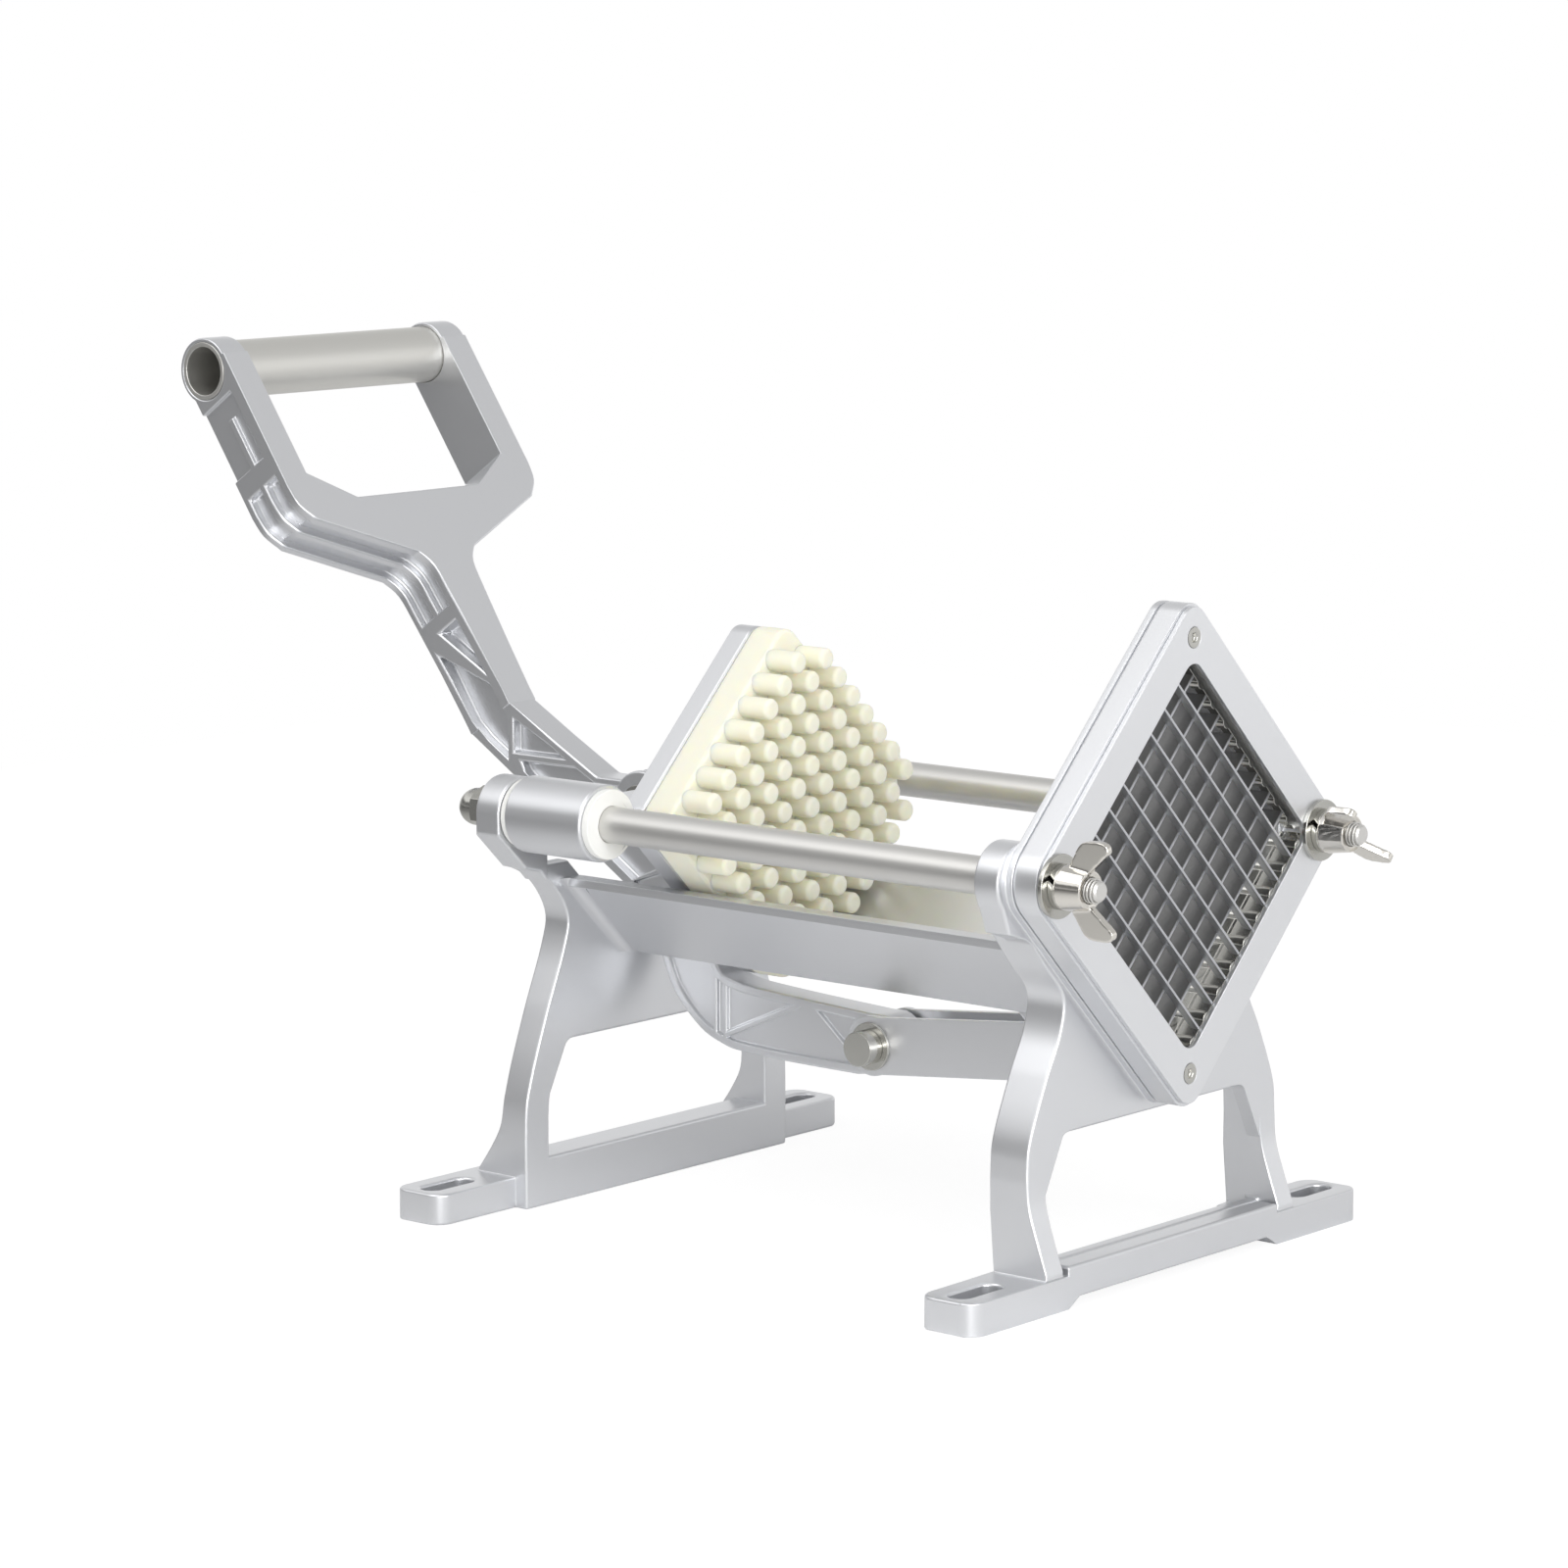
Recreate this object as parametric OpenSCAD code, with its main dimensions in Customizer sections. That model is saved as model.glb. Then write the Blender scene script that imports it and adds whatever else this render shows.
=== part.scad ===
// Lever-operated french fry cutter.
// A potato lies in the V trough. Pulling the D handle forward slides the
// carriage along two rods, and its block pushes the potato through the blades.
// +X points from the handle to the blades, +Z up. The origin is on the bench,
// midway between the slots of the two front feet.

/* [Frame] */
// Height of the rod axes above the bench
rod_height = 135; // [125:1:145]
// Distance between the rod axes
rod_spacing = 138.4; // [134:0.2:144]
// Diameter of the guide rods
rod_d = 12; // [10:0.5:13]
// Diameter of the threaded rod ends
stud_d = 8; // [6:0.5:9]
// Distance between the front and rear foot slots
wheelbase = 224; // [218:1:234]
// Thickness of the front and rear walls
wall_t = 5; // [4:0.5:6]
// Thickness of the trough walls
trough_t = 4; // [3:0.5:5]
// Gap between the push block and the trough walls
trough_gap = 1.8; // [1:0.1:2.4]
// Depth of the front legs from front to back
front_leg_depth = 15; // [12:0.5:18]
// Depth of the rear legs from front to back
rear_leg_depth = 11; // [9:0.5:13]
// Half width over the legs
leg_half = 65.7; // [63:0.1:70]
// Thickness of a leg seen from the front
leg_t = 8.7; // [7:0.1:11]
// Radius of the bosses that hold the rods
boss_r = 12; // [11:0.5:13.5]

/* [Feet] */
// Height of the foot pads
foot_h = 10.5; // [8:0.5:13]
// Length of a foot pad along X
foot_l = 22; // [19:0.5:26]
// Half width over the feet
foot_half = 103; // [100:0.5:108]
// Distance between the left and right slot centres
slot_spacing = 176; // [172:0.5:180]
// Width of the bolt slots
slot_w = 8; // [5:0.5:9]
// Overall length of the bolt slots
slot_l = 22; // [16:0.5:26]
// Height of the cross-bars between the legs
bar_h = 10.5; // [8:0.5:12]

/* [Blades] */
// Side of the square blade cassette
cassette_side = 117.3; // [114:0.1:121]
// Radius of the top and bottom corners of the cassette
cassette_r = 8; // [5:0.5:12]
// Radius of the corners of the cassette beside the rods
side_corner_r = 13.5; // [8:0.5:16]
// Distance between blades, which is the width of a fry
pitch = 9.89; // [9.5:0.01:10.1]
// Blades in each direction
blade_count = 8; // [8:1:8]
// Thickness of a blade
blade_t = 0.8; // [0.5:0.1:1]
// Depth along X of the front blades and of the bars at the blade ends
blade_w = 3.5; // [3:0.1:4]
// Depth along X of the rear blades
rear_blade_w = 9.5; // [8:0.1:9.7]
// Thickness of the cassette floor
holder_floor = 1.2; // [1:0.1:2]
// Thickness of the cassette front frame
cover_t = 1.8; // [1.5:0.1:3]
// Width of the bars at the ends of the blades
end_bar_w = 3.5; // [2.5:0.1:5]

/* [Carriage] */
// Side of the square push block
block_side = 87; // [85:0.5:87.5]
// Corner radius of the push block and its plate
block_r = 7; // [5:0.5:10]
// Thickness of the carriage plate
plate_t = 8.3; // [6:0.1:10]
// Thickness of the push block without its fingers
block_t = 12.3; // [10:0.1:14]
// Diameter of a finger
finger_d = 6.6; // [5:0.1:7.4]
// Length of a finger
finger_l = 12; // [9:0.5:14]
// Outer diameter of the sleeves
sleeve_d = 25.5; // [24:0.5:28]
// Length of the sleeves
sleeve_l = 33.5; // [30:0.5:36]
// Thickness of the bush flanges
bush_flange_t = 2.6; // [2:0.1:3]
// Diameter of the bush flanges
bush_flange_d = 23; // [20:0.5:25]
// Wall thickness of the bushes
bush_wall = 3; // [2:0.1:3.5]

/* [Lever and link] */
// Width of the lever bar
lever_w = 12.6; // [10:0.2:14]
// Depth of the handle from front to back
handle_depth = 22; // [19:0.5:25]
// Half width over the handle
handle_half = 60; // [54:0.5:66]
// Length of the handle from the bend to the grip
handle_len = 146.6; // [135:0.2:160]
// Width of the arms beside the handle opening
arm_w = 11.6; // [9:0.1:14]
// Outer diameter of the grip tube
grip_d = 20; // [18:0.5:21]
// Wall of the grip tube
grip_wall = 1.6; // [1:0.1:2.5]
// Width of the rims and ribs on the sides of the lever
rim = 3; // [2:0.1:4]
// Thickness of the web between the pockets of the neck
neck_web = 5; // [3:0.1:8]
// Thickness of the web between the pockets of the hook
hook_web = 9.4; // [6:0.1:11]
// Diameter of the lever and link pins
pin_d = 11.5; // [9:0.5:12]
// Radius of the lower eye of the lever
eye_r = 10; // [9:0.1:11]
// Thickness of the link walls
link_wall = 2.5; // [2:0.1:3]
// Gap between the lever and the link walls
link_gap = 1.5; // [1:0.1:2]
// Height of the link channel
link_h = 19; // [16:0.5:20]
// Diameter of the anchor pin
anchor_d = 8; // [6:0.5:8.5]

/* [Fasteners] */
// Diameter of the washers
washer_d = 20; // [17:0.5:23]
// Thickness of the washers
washer_t = 1.6; // [1:0.1:2.5]
// Diameter of the spring washers
spring_d = 14.5; // [13:0.5:16]
// Thickness of the spring washers
spring_t = 2.2; // [1.6:0.1:3]
// Height of the hub of a wing nut
hub_h = 9; // [7:0.5:12]
// Reach of a wing from the rod axis
wing_reach = 15.5; // [13:0.5:18]
// Width of the rear nuts across the corners
nut_d = 15; // [13:0.5:17]
// Height of the hexagon of the rear nuts
nut_h = 6.5; // [5:0.5:8]
// Diameter of the domes of the rear nuts
dome_d = 12.5; // [11:0.5:13]

/* [Hidden] */

$fn = 64;
eps = 0.01;                    // overlap that makes a cut clean
slide_fit = 0.05;              // radial clearance of a shaft in its bore
side_gap = 0.6;                // clearance beside a moving bar

// ---- places along X ----
rod_y = rod_spacing / 2;
wall_front = 2.5;              // front face of the front wall
wall_back = wall_front - wall_t;
seat_x = 6;                    // face that the cassette is clamped to
seat_step = 1;                 // depth of the step round its edge
boss_back = -7;                // rear end of the front bosses
rear_x = -wheelbase;           // rear foot slots
rear_boss_x = rear_x + 8;      // rear face of the rear bosses
rear_boss_l = 10.5;
rear_leg_back = rear_x + 5;
rear_wall_front = rear_leg_back + rear_leg_depth;
blades_x = seat_x + holder_floor;
holder_x = blades_x + 2 * blade_w;
cassette_x = holder_x + cover_t;
washer_x = cassette_x + washer_t;
nut_x = washer_x + spring_t;
stud_end = nut_x + hub_h + 4;
rear_nut_x = rear_boss_x - washer_t;
bush_back = rear_boss_x + rear_boss_l + 0.5;
sleeve_back = bush_back + bush_flange_t;
sleeve_front = sleeve_back + sleeve_l;
plate_back = sleeve_front - 2;
plate_front = plate_back + plate_t;
base_front = plate_front + block_t;

// ---- squares that stand on a corner ----
opening_side = (blade_count + 1) * pitch;
trough_in = block_side / sqrt(2) + trough_gap * sqrt(2);
trough_out = trough_in + trough_t * sqrt(2);
throat_side = opening_side;
trough_top = rod_height - 25;
trough_bottom = rod_height - 54;
lip_w = 4;                     // width of the lip that lies on the trough wall
lip_h = 3;

// ---- feet and panels ----
foot_in = leg_half - 10.2;
front_panel_z = rod_height - 82;
rear_panel_z = rod_height - 80;
bar_t = 8;
front_bar_z = 3;
rear_bar_z = 6;

// ---- lever, link and their pivots, as [x, z] ----
lever_pin_d = pin_d - 1.5;
top_eye_r = 9.5;
pivot_p = [bush_back + 3, rod_height - 4];
pivot_q = [pivot_p[0] + 96.5, pivot_p[1] - 70.5];
pivot_r = [wall_back - 24.5, pivot_p[1] - 62.5];
link_len = norm(pivot_r - pivot_q);
link_angle = atan2(pivot_r[1] - pivot_q[1], pivot_r[0] - pivot_q[0]);
link_in = lever_w / 2 + link_gap;
link_half = link_in + link_wall;
lug_in = link_half + 1;
lug_t = 4;
// The anchor pin wanders this far down the slot in mid stroke.
slot_travel = 22;
slot_angle = -61.3;
slot_half = anchor_d / 2 + 2.2;
bend = [pivot_p[0] - 69, pivot_p[1] + 28];
lean = 34.73;                  // lean of the handle behind the vertical
clip_t = 1.2;

// ---- curves ----
function blend(a, b, c, d, t) = 0.5 * (2 * b + (c - a) * t
    + (2 * a - 5 * b + 4 * c - d) * t * t + (3 * b - a - 3 * c + d) * t * t * t);
function curve(p, n = 5) = concat([for (i = [0 : len(p) - 2]) for (j = [0 : n - 1])
    blend(p[max(i - 1, 0)], p[i], p[i + 1], p[min(i + 2, len(p) - 1)], j / n)],
    [p[len(p) - 1]]);
function back(p) = [for (i = [len(p) - 1 : -1 : 0]) p[i]];
function shift(p, d) = [for (q = p) q + d];
function arc(c, r, a, b, n = 12) = [for (i = [0 : n]) c + r * [cos(a + (b - a) * i / n),
    sin(a + (b - a) * i / n)]];
function unit(v) = v / max(norm(v), 0.0001);
// Moves each point of a line sideways, to the right of its direction when d > 0.
function beside(p, d) = [for (i = [0 : len(p) - 1])
    let (t = unit(p[min(i + 1, len(p) - 1)] - p[max(i - 1, 0)])) p[i] + d * [t[1], -t[0]]];

// ---- helpers ----
module along_x(a, b) translate([a, 0, 0]) rotate([90, 0, 90]) linear_extrude(b - a) children();
module along_y(a, b) translate([0, b, 0]) rotate([90, 0, 0]) linear_extrude(b - a) children();
module both_sides() { children(); mirror([0, 1, 0]) children(); }
module both_edges() { children(); mirror([1, 0]) children(); }
module rod_x(d, a, b) translate([a, 0, 0]) rotate([0, 90, 0]) cylinder(d = d, h = b - a);
module pin_y(d, a, b) translate([0, b, 0]) rotate([90, 0, 0]) cylinder(d = d, h = b - a);
module at_rods() both_sides() translate([0, rod_y, rod_height]) children();
module at(p) translate([p[0], 0, p[1]]) children();

module round_square(w, h, r) {
    square([w - 2 * r, h], center = true);
    square([w, h - 2 * r], center = true);
    for (x = [-1, 1], y = [-1, 1])
        translate([x * (w / 2 - r), y * (h / 2 - r)]) circle(r);
}
// A square that stands on its corner round the rod height.
module diamond(side, r = 0) translate([0, rod_height]) rotate(45) {
    if (r > 0) round_square(side, side, r);
    else square(side, center = true);
}
// The cassette's outline, with rounder corners beside the rods.
module cassette_shape(inset = 0) {
    diamond(cassette_side - 2 * inset, side_corner_r - inset);
    intersection() {
        diamond(cassette_side - 2 * inset, cassette_r - inset);
        translate([-40, 0]) square([80, 2 * rod_height]);
    }
}
// Keeps a wall round the rods wherever an opening comes close to them.
module clear_of_rods(r) difference() {
    children();
    for (s = [-1, 1]) translate([s * rod_y, rod_height]) circle(r);
}
module mirrored(outline) polygon(concat(outline, [for (p = back(outline)) [-p[0], p[1]]]));

// ---- cast body ----
rod_wall_r = rod_d / 2 + 2.5;

// Outer edge of the legs, from the rod boss down to the bench, as [y, z].
front_edge = curve([[rod_y - 3.5, rod_height - 18], [rod_y - 12.5, rod_height - 29],
    [leg_half - 17.6, rod_height - 39], [leg_half - 16.1, rod_height - 50.5],
    [leg_half - 9.1, rod_height - 64], [leg_half - 1.4, rod_height - 81.6],
    [leg_half, rod_height - 92], [leg_half, rod_height / 4.5], [leg_half, 0]]);
rear_edge = curve([[rod_y - 3.5, rod_height - 19], [rod_y - 15.2, rod_height - 25],
    [leg_half - 20, rod_height - 37], [leg_half - 18.5, rod_height - 48],
    [leg_half - 9.4, rod_height - 70], [leg_half - 1.4, rod_height - 92],
    [leg_half + 1, rod_height / 4.5], [leg_half + 1, 0]]);

// Space between the legs, from the cross-bar up to the panel.
module leg_gap(bar_z, panel_z, half) {
    mirrored(concat([[0, panel_z], [half - 12, panel_z]],
        arc([half - 12, panel_z - 4], 4, 90, 20, 4),
        [[half, panel_z - 19], [half, bar_z + bar_h]], [[0, bar_z + bar_h]]));
}
// Outer face of the trough walls, with the thicker lip along their top edge.
module trough_outline() {
    diamond(trough_out * sqrt(2));
    both_edges() translate([trough_out - (rod_height - trough_top) - lip_w, trough_top - lip_h])
        square([lip_w + 1, lip_h]);
}
module leg_band(edge, t) both_edges()
    polygon(concat(edge, back(shift(edge, [-t, 0]))));
// Fills between the trough wall and the leg.
module shoulder(edge) difference() {
    intersection() {
        mirrored(edge);
        translate([-leg_half - 20, trough_bottom])
            square([2 * leg_half + 40, rod_height - trough_bottom - 18]);
    }
    trough_outline();
}
module boss_shape() {
    circle(boss_r);
    polygon([[-boss_r, 0], [-boss_r, -boss_r - 13], [-3, -boss_r - 7], [boss_r / 2, -boss_r - 4],
        [boss_r, 0]]);
}
// The rear bosses run down to the legs in a straight slope.
module rear_boss_shape() {
    circle(boss_r);
    polygon([[boss_r, 0], [boss_r, -6.5], [-1, -boss_r - 7], [-8, -boss_r - 9],
        [-boss_r, -boss_r - 13], [-boss_r, 0]]);
}
// A foot pad with its bolt slot, its inner end rising to the cross-bar.
module foot(x, bar_z) translate([x, 0, 0]) both_sides() difference() {
    union() {
        linear_extrude(foot_h) intersection() {
            translate([0, foot_half - 40]) round_square(foot_l, 80, 6);
            translate([-foot_l, foot_in]) square([2 * foot_l, foot_half]);
        }
        along_x(-foot_l / 2, foot_l / 2) polygon([[foot_in + eps, 0], [foot_in + eps, foot_h],
            [foot_in - 4, foot_h], [foot_in - 5, bar_z]]);
    }
    translate([0, slot_spacing / 2, -1]) linear_extrude(foot_h + 2) {
        square([slot_w, slot_l - slot_w], center = true);
        for (s = [-1, 1]) translate([0, s * (slot_l - slot_w) / 2]) circle(d = slot_w);
    }
}

module front_frame() color("silver") difference() {
    union() {
        along_x(wall_back, seat_x) diamond(cassette_side - 12, cassette_r - 2);
        along_x(wall_front, seat_x - seat_step) cassette_shape();
        along_x(wall_front, seat_x) cassette_shape(1);
        along_x(wall_back, wall_front) difference() {
            mirrored(front_edge);
            leg_gap(front_bar_z, front_panel_z, leg_half - leg_t);
        }
        intersection() {
            along_x(-20, 20) leg_band(front_edge, leg_t);
            along_y(-200, 200) polygon(concat(
                [[wall_front - front_leg_depth, rod_height], [wall_front - front_leg_depth, 30],
                [-foot_l / 2, foot_h], [-foot_l / 2, 0], [foot_l / 2 - 1, 0]],
                curve([[foot_l / 2 - 1, foot_h + 2], [6.5, 22], [3.3, 32], [wall_front, 42]]),
                [[wall_front, rod_height]]));
        }
        along_x(wall_front - front_leg_depth, wall_front) shoulder(front_edge);
        at_rods() along_x(boss_back, wall_front) boss_shape();
        foot(0, front_bar_z);
        translate([foot_l / 2 - bar_t, -foot_in, front_bar_z]) cube([bar_t, 2 * foot_in, bar_h]);
        anchor_lugs();
    }
    along_x(-50, 50) clear_of_rods(rod_wall_r) diamond(throat_side);
    along_x(-50, wall_back) clear_of_rods(rod_wall_r) diamond(trough_in * sqrt(2));
    at_rods() rod_x(rod_d + 2 * slide_fit, -50, 50);
}

// Two lugs under the trough. The anchor pin lies at the top of their slots.
module anchor_lugs() both_sides() difference() {
    along_y(lug_in, lug_in + lug_t) polygon([[pivot_r[0] - 14.5, trough_bottom],
        [pivot_r[0] - 10.5, trough_bottom - 3.5], [pivot_r[0] - 10.5, pivot_r[1] + 1],
        [pivot_r[0] - 3.5, front_panel_z],
        [wall_back + eps, front_panel_z], [wall_back + eps, trough_bottom]]);
    at(pivot_r) {
        pin_y(2 * slot_half, 0, 50);
        rotate([0, -slot_angle, 0]) translate([0, 0, -slot_half])
            cube([slot_travel + 20, 50, 2 * slot_half]);
    }
}

module trough() color("silver") intersection() {
    union() {
        along_x(rear_wall_front, wall_back) difference() {
            trough_outline();
            diamond(trough_in * sqrt(2));
        }
        wall_fillets();
    }
    translate([rear_wall_front, -trough_out, trough_bottom])
        cube([wall_back - rear_wall_front, 2 * trough_out, trough_top - trough_bottom]);
}
// Fillets between the outside of the trough and the rear wall.
fillet_r = 4;
module wall_fillets() both_sides() translate([rear_wall_front, 0, rod_height]) rotate([-45, 0, 0])
    translate([0, trough_out / sqrt(2), -trough_out / sqrt(2) + lip_w])
        linear_extrude(trough_out * sqrt(2) - 2 * lip_w) difference() {
            translate([-eps, -eps]) square(fillet_r + eps);
            translate([fillet_r, fillet_r]) circle(fillet_r);
        }

module rear_frame() color("silver") difference() {
    union() {
        along_x(rear_wall_front - wall_t, rear_wall_front) difference() {
            mirrored(rear_edge);
            leg_gap(rear_bar_z, rear_panel_z, leg_half - 10.5);
        }
        intersection() {
            along_x(rear_x - 20, rear_x + 20) leg_band(rear_edge, leg_t + 2.8);
            along_y(-200, 200) polygon(concat(
                [[rear_wall_front, rod_height], [rear_wall_front, 30],
                [rear_x + foot_l / 2, foot_h], [rear_x + foot_l / 2, 0], [rear_x - 6, 0]],
                curve([[rear_x - 6, foot_h + 1], [rear_x, 20], [rear_x + 4, 28],
                    [rear_leg_back, 38]]),
                [[rear_leg_back, rod_height]]));
        }
        along_x(rear_leg_back, rear_wall_front) shoulder(rear_edge);
        at_rods() along_x(rear_boss_x, rear_boss_x + rear_boss_l) rear_boss_shape();
        foot(rear_x, rear_bar_z);
        translate([rear_x + 3, -foot_in, rear_bar_z]) cube([bar_t, 2 * foot_in, bar_h]);
    }
    difference() {
        along_x(rear_x - 50, rear_x + 50) clear_of_rods(rod_wall_r) diamond(trough_in * sqrt(2));
        translate([rear_x - 50, -200, 0]) cube([100, 400, trough_bottom]);
    }
    at_rods() rod_x(rod_d + 2 * slide_fit, rear_x - 50, rear_x + 50);
}

// ---- rods and their fasteners ----
module guide_rod() translate([0, 0, rod_height]) {
    rod_x(rod_d, rear_boss_x, seat_x);
    rod_x(stud_d, rear_nut_x - nut_h - 3, stud_end);
}
module guide_rod_left() color("lightsteelblue") translate([0, rod_y, 0]) guide_rod();
module guide_rod_right() color("lightsteelblue") translate([0, -rod_y, 0]) guide_rod();

module ring_x(d, bore, a, b) difference() {
    rod_x(d, a, b);
    rod_x(bore, a - 1, b + 1);
}
module rear_washers() color("gainsboro") at_rods()
    ring_x(washer_d - 3, stud_d + 2 * slide_fit, rear_nut_x, rear_boss_x);
// Cap nuts: a hexagon with a chamfer round its end, and a dome over the rod end.
module rear_nuts() color("darkgray") at_rods() translate([rear_nut_x, 0, 0]) rotate([0, -90, 0])
    difference() {
        union() {
            intersection() {
                cylinder(d = nut_d, h = nut_h, $fn = 6);
                cylinder(d1 = nut_d - 2.4 + 4 * nut_h, d2 = nut_d - 2.4, h = nut_h);
            }
            cylinder(d = dome_d, h = nut_h + 2);
            translate([0, 0, nut_h + 2]) sphere(d = dome_d);
        }
        translate([0, 0, -1]) cylinder(d = stud_d + 2 * slide_fit, h = nut_h + 4.5);
    }
module front_washers() color("gainsboro") at_rods()
    ring_x(washer_d, stud_d + 2 * slide_fit, cassette_x, washer_x);
module spring_washers() color("gray") at_rods()
    ring_x(spring_d, stud_d + 2 * slide_fit, washer_x, nut_x);

// A hub with two curved wings that rise away from the cassette.
module wing_nut() difference() {
    union() {
        translate([nut_x, 0, 0]) rotate([0, 90, 0]) cylinder(d1 = spring_d, d2 = stud_d + 4, h = hub_h);
        for (s = [0, 180]) rotate([s, 0, 0]) along_y(-1.3, 1.3)
            polygon(concat(curve([[nut_x + 1, stud_d / 2 + 1], [nut_x + 3.5, wing_reach - 6],
                [nut_x + 7, wing_reach - 1], [nut_x + 12, wing_reach], [nut_x + 16, wing_reach - 0.5],
                [nut_x + 17, wing_reach - 3], [nut_x + 14, wing_reach - 6],
                [nut_x + hub_h, stud_d / 2 + 1]]), [[nut_x + hub_h / 2, stud_d / 2 + 0.5]]));
    }
    rod_x(stud_d + 2 * slide_fit, nut_x - 1, nut_x + 40);
}
module wing_nut_left() color("tan") translate([0, rod_y, rod_height]) rotate([52, 0, 0]) wing_nut();
module wing_nut_right() color("tan") translate([0, -rod_y, rod_height]) rotate([6, 0, 0]) wing_nut();

// ---- blade cassette ----
stud_hole_d = stud_d + 0.6;
stud_wall_r = stud_hole_d / 2 + 2.5;
opening_r = 5.5;
bar_gap = 0.1;                 // clearance of the end bars in the holder
tooth_r = 2.2;                 // teeth on the end bars, between the blades
module cassette_slab(a, b, inset = 0) difference() {
    along_x(a, b) cassette_shape(inset);
    at_rods() rod_x(stud_hole_d, a - 1, b + 1);
}
module at_screws() for (s = [-1, 1])
    translate([0, 0, rod_height + s * (cassette_side / sqrt(2) - 14)]) children();
module blade_holder() color("silver") difference() {
    cassette_slab(seat_x, holder_x);
    along_x(seat_x - 1, holder_x + 1) clear_of_rods(stud_wall_r) diamond(opening_side);
    along_x(blades_x, holder_x + 1) clear_of_rods(stud_wall_r)
        for (s = [-1, 1]) translate([0, rod_height]) rotate(s * 45)
            square([opening_side + 2 * (end_bar_w + bar_gap), opening_side], center = true);
    at_screws() rod_x(3.5, blades_x, holder_x + 1);
}
module blade_frame() color("silver") difference() {
    cassette_slab(holder_x, cassette_x, 1);
    along_x(holder_x - 1, cassette_x + 1) clear_of_rods(stud_wall_r)
        diamond(opening_side, opening_r);
    at_screws() {
        rod_x(3.5, holder_x - 1, cassette_x + 1);
        translate([cassette_x - 1.8, 0, 0]) rotate([0, 90, 0]) cylinder(d1 = 3.5, d2 = 7.1, h = 1.8 + eps);
    }
}
module blade_screws() color("gray") at_screws() {
    rod_x(3.4, blades_x + 1, cassette_x - 1.5);
    translate([cassette_x - 1.7, 0, 0]) rotate([0, 90, 0]) cylinder(d1 = 3.4, d2 = 6.8, h = 1.7);
}
module blade_lines(length, turn) translate([0, rod_height]) rotate(turn)
    for (i = [0 : blade_count - 1]) translate([0, (i - (blade_count - 1) / 2) * pitch])
        square([length, blade_t], center = true);
// One row of parallel blades with the toothed bars that hold their ends.
module blade_row(x, turn) along_x(x, x + blade_w) clear_of_rods(stud_wall_r + bar_gap) {
    blade_lines(opening_side + 2 * end_bar_w, turn);
    translate([0, rod_height]) rotate(turn) for (s = [-1, 1]) {
        translate([s * (opening_side + end_bar_w) / 2, 0])
            square([end_bar_w, opening_side - 4 * bar_gap], center = true);
        for (i = [0 : blade_count])
            translate([s * (opening_side / 2 + tooth_r - 1), (i - blade_count / 2) * pitch])
                circle(tooth_r, $fn = 32);
    }
}
// The rear blades reach back through the floor of the holder into the throat.
module blades_rear() color("slategray") {
    blade_row(blades_x, 45);
    along_x(blades_x + blade_w - rear_blade_w, blades_x + blade_w)
        clear_of_rods(rod_wall_r + bar_gap) blade_lines(opening_side - 4 * bar_gap, 45);
}
module blades_front() color("slategray") blade_row(blades_x + blade_w, -45);

// ---- carriage ----
bush_d = rod_d + 2 * bush_wall;
bush_l = 15;                   // length of a bush inside its sleeve
screw_at = 22;
module at_block_screws() for (y = [-1, 1], z = [-1, 1])
    translate([0, y * screw_at, rod_height + z * screw_at]) children();
web_top = rod_height + 5;
web_back = pivot_p[0] + top_eye_r + 3.5;
fin_in = lever_w / 2 + side_gap;  // two fins on each side hold the lever pin
fin_out = fin_in + 9;
fin_t = 3;
module carriage() color("silver") difference() {
    union() {
        along_x(plate_back, plate_front) diamond(block_side, block_r);
        at_rods() rod_x(sleeve_d, sleeve_back, sleeve_front);
        both_sides() {
            translate([web_back, fin_in, web_top - 9])
                cube([plate_back - web_back + eps, rod_y - fin_in, 9]);
            for (y = [fin_in, fin_out - fin_t]) along_y(y, y + fin_t) {
                translate(pivot_p) circle(top_eye_r + 2.5);
                translate([pivot_p[0], web_top - 19])
                    square([plate_back + 0.1 - pivot_p[0], 19]);
            }
        }
    }
    at_rods() rod_x(bush_flange_d + 1, sleeve_front, plate_front + 1);
    at_rods() rod_x(bush_d, sleeve_back - 1, sleeve_front + 5);
    at(pivot_p) pin_y(lever_pin_d, -60, 60);
    at_block_screws() rod_x(5, plate_back - 1, plate_front + 1);
}
module bushes_front() color("white") at_rods() difference() {
    union() {
        rod_x(bush_flange_d, sleeve_front, sleeve_front + bush_flange_t);
        rod_x(bush_d, sleeve_front - bush_l, sleeve_front + 1);
    }
    rod_x(rod_d + 2 * slide_fit, sleeve_back, sleeve_front + 20);
}
module bushes_rear() color("white") at_rods() difference() {
    union() {
        rod_x(bush_flange_d, bush_back, sleeve_back);
        rod_x(bush_d, sleeve_back - 1, sleeve_back + bush_l);
    }
    rod_x(rod_d + 2 * slide_fit, bush_back - 1, sleeve_front);
}
module push_block() color("ivory") difference() {
    union() {
        along_x(plate_front, base_front) diamond(block_side, block_r);
        translate([0, 0, rod_height]) rotate([45, 0, 0])
            for (i = [0 : blade_count], j = [0 : blade_count])
                if (!((i == 0 || i == blade_count) && (j == 0 || j == blade_count)))
                    translate([0, (i - blade_count / 2) * pitch, (j - blade_count / 2) * pitch])
                        rod_x(finger_d, base_front - 1, base_front + finger_l, $fn = 32);
    }
    at_block_screws() rod_x(5, plate_front - 1, plate_front + 8);
}
module block_screws() color("gray") at_block_screws() {
    rod_x(5, plate_back - 1, plate_front + 8);
    rod_x(9, plate_back - 4, plate_back);
}

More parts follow.
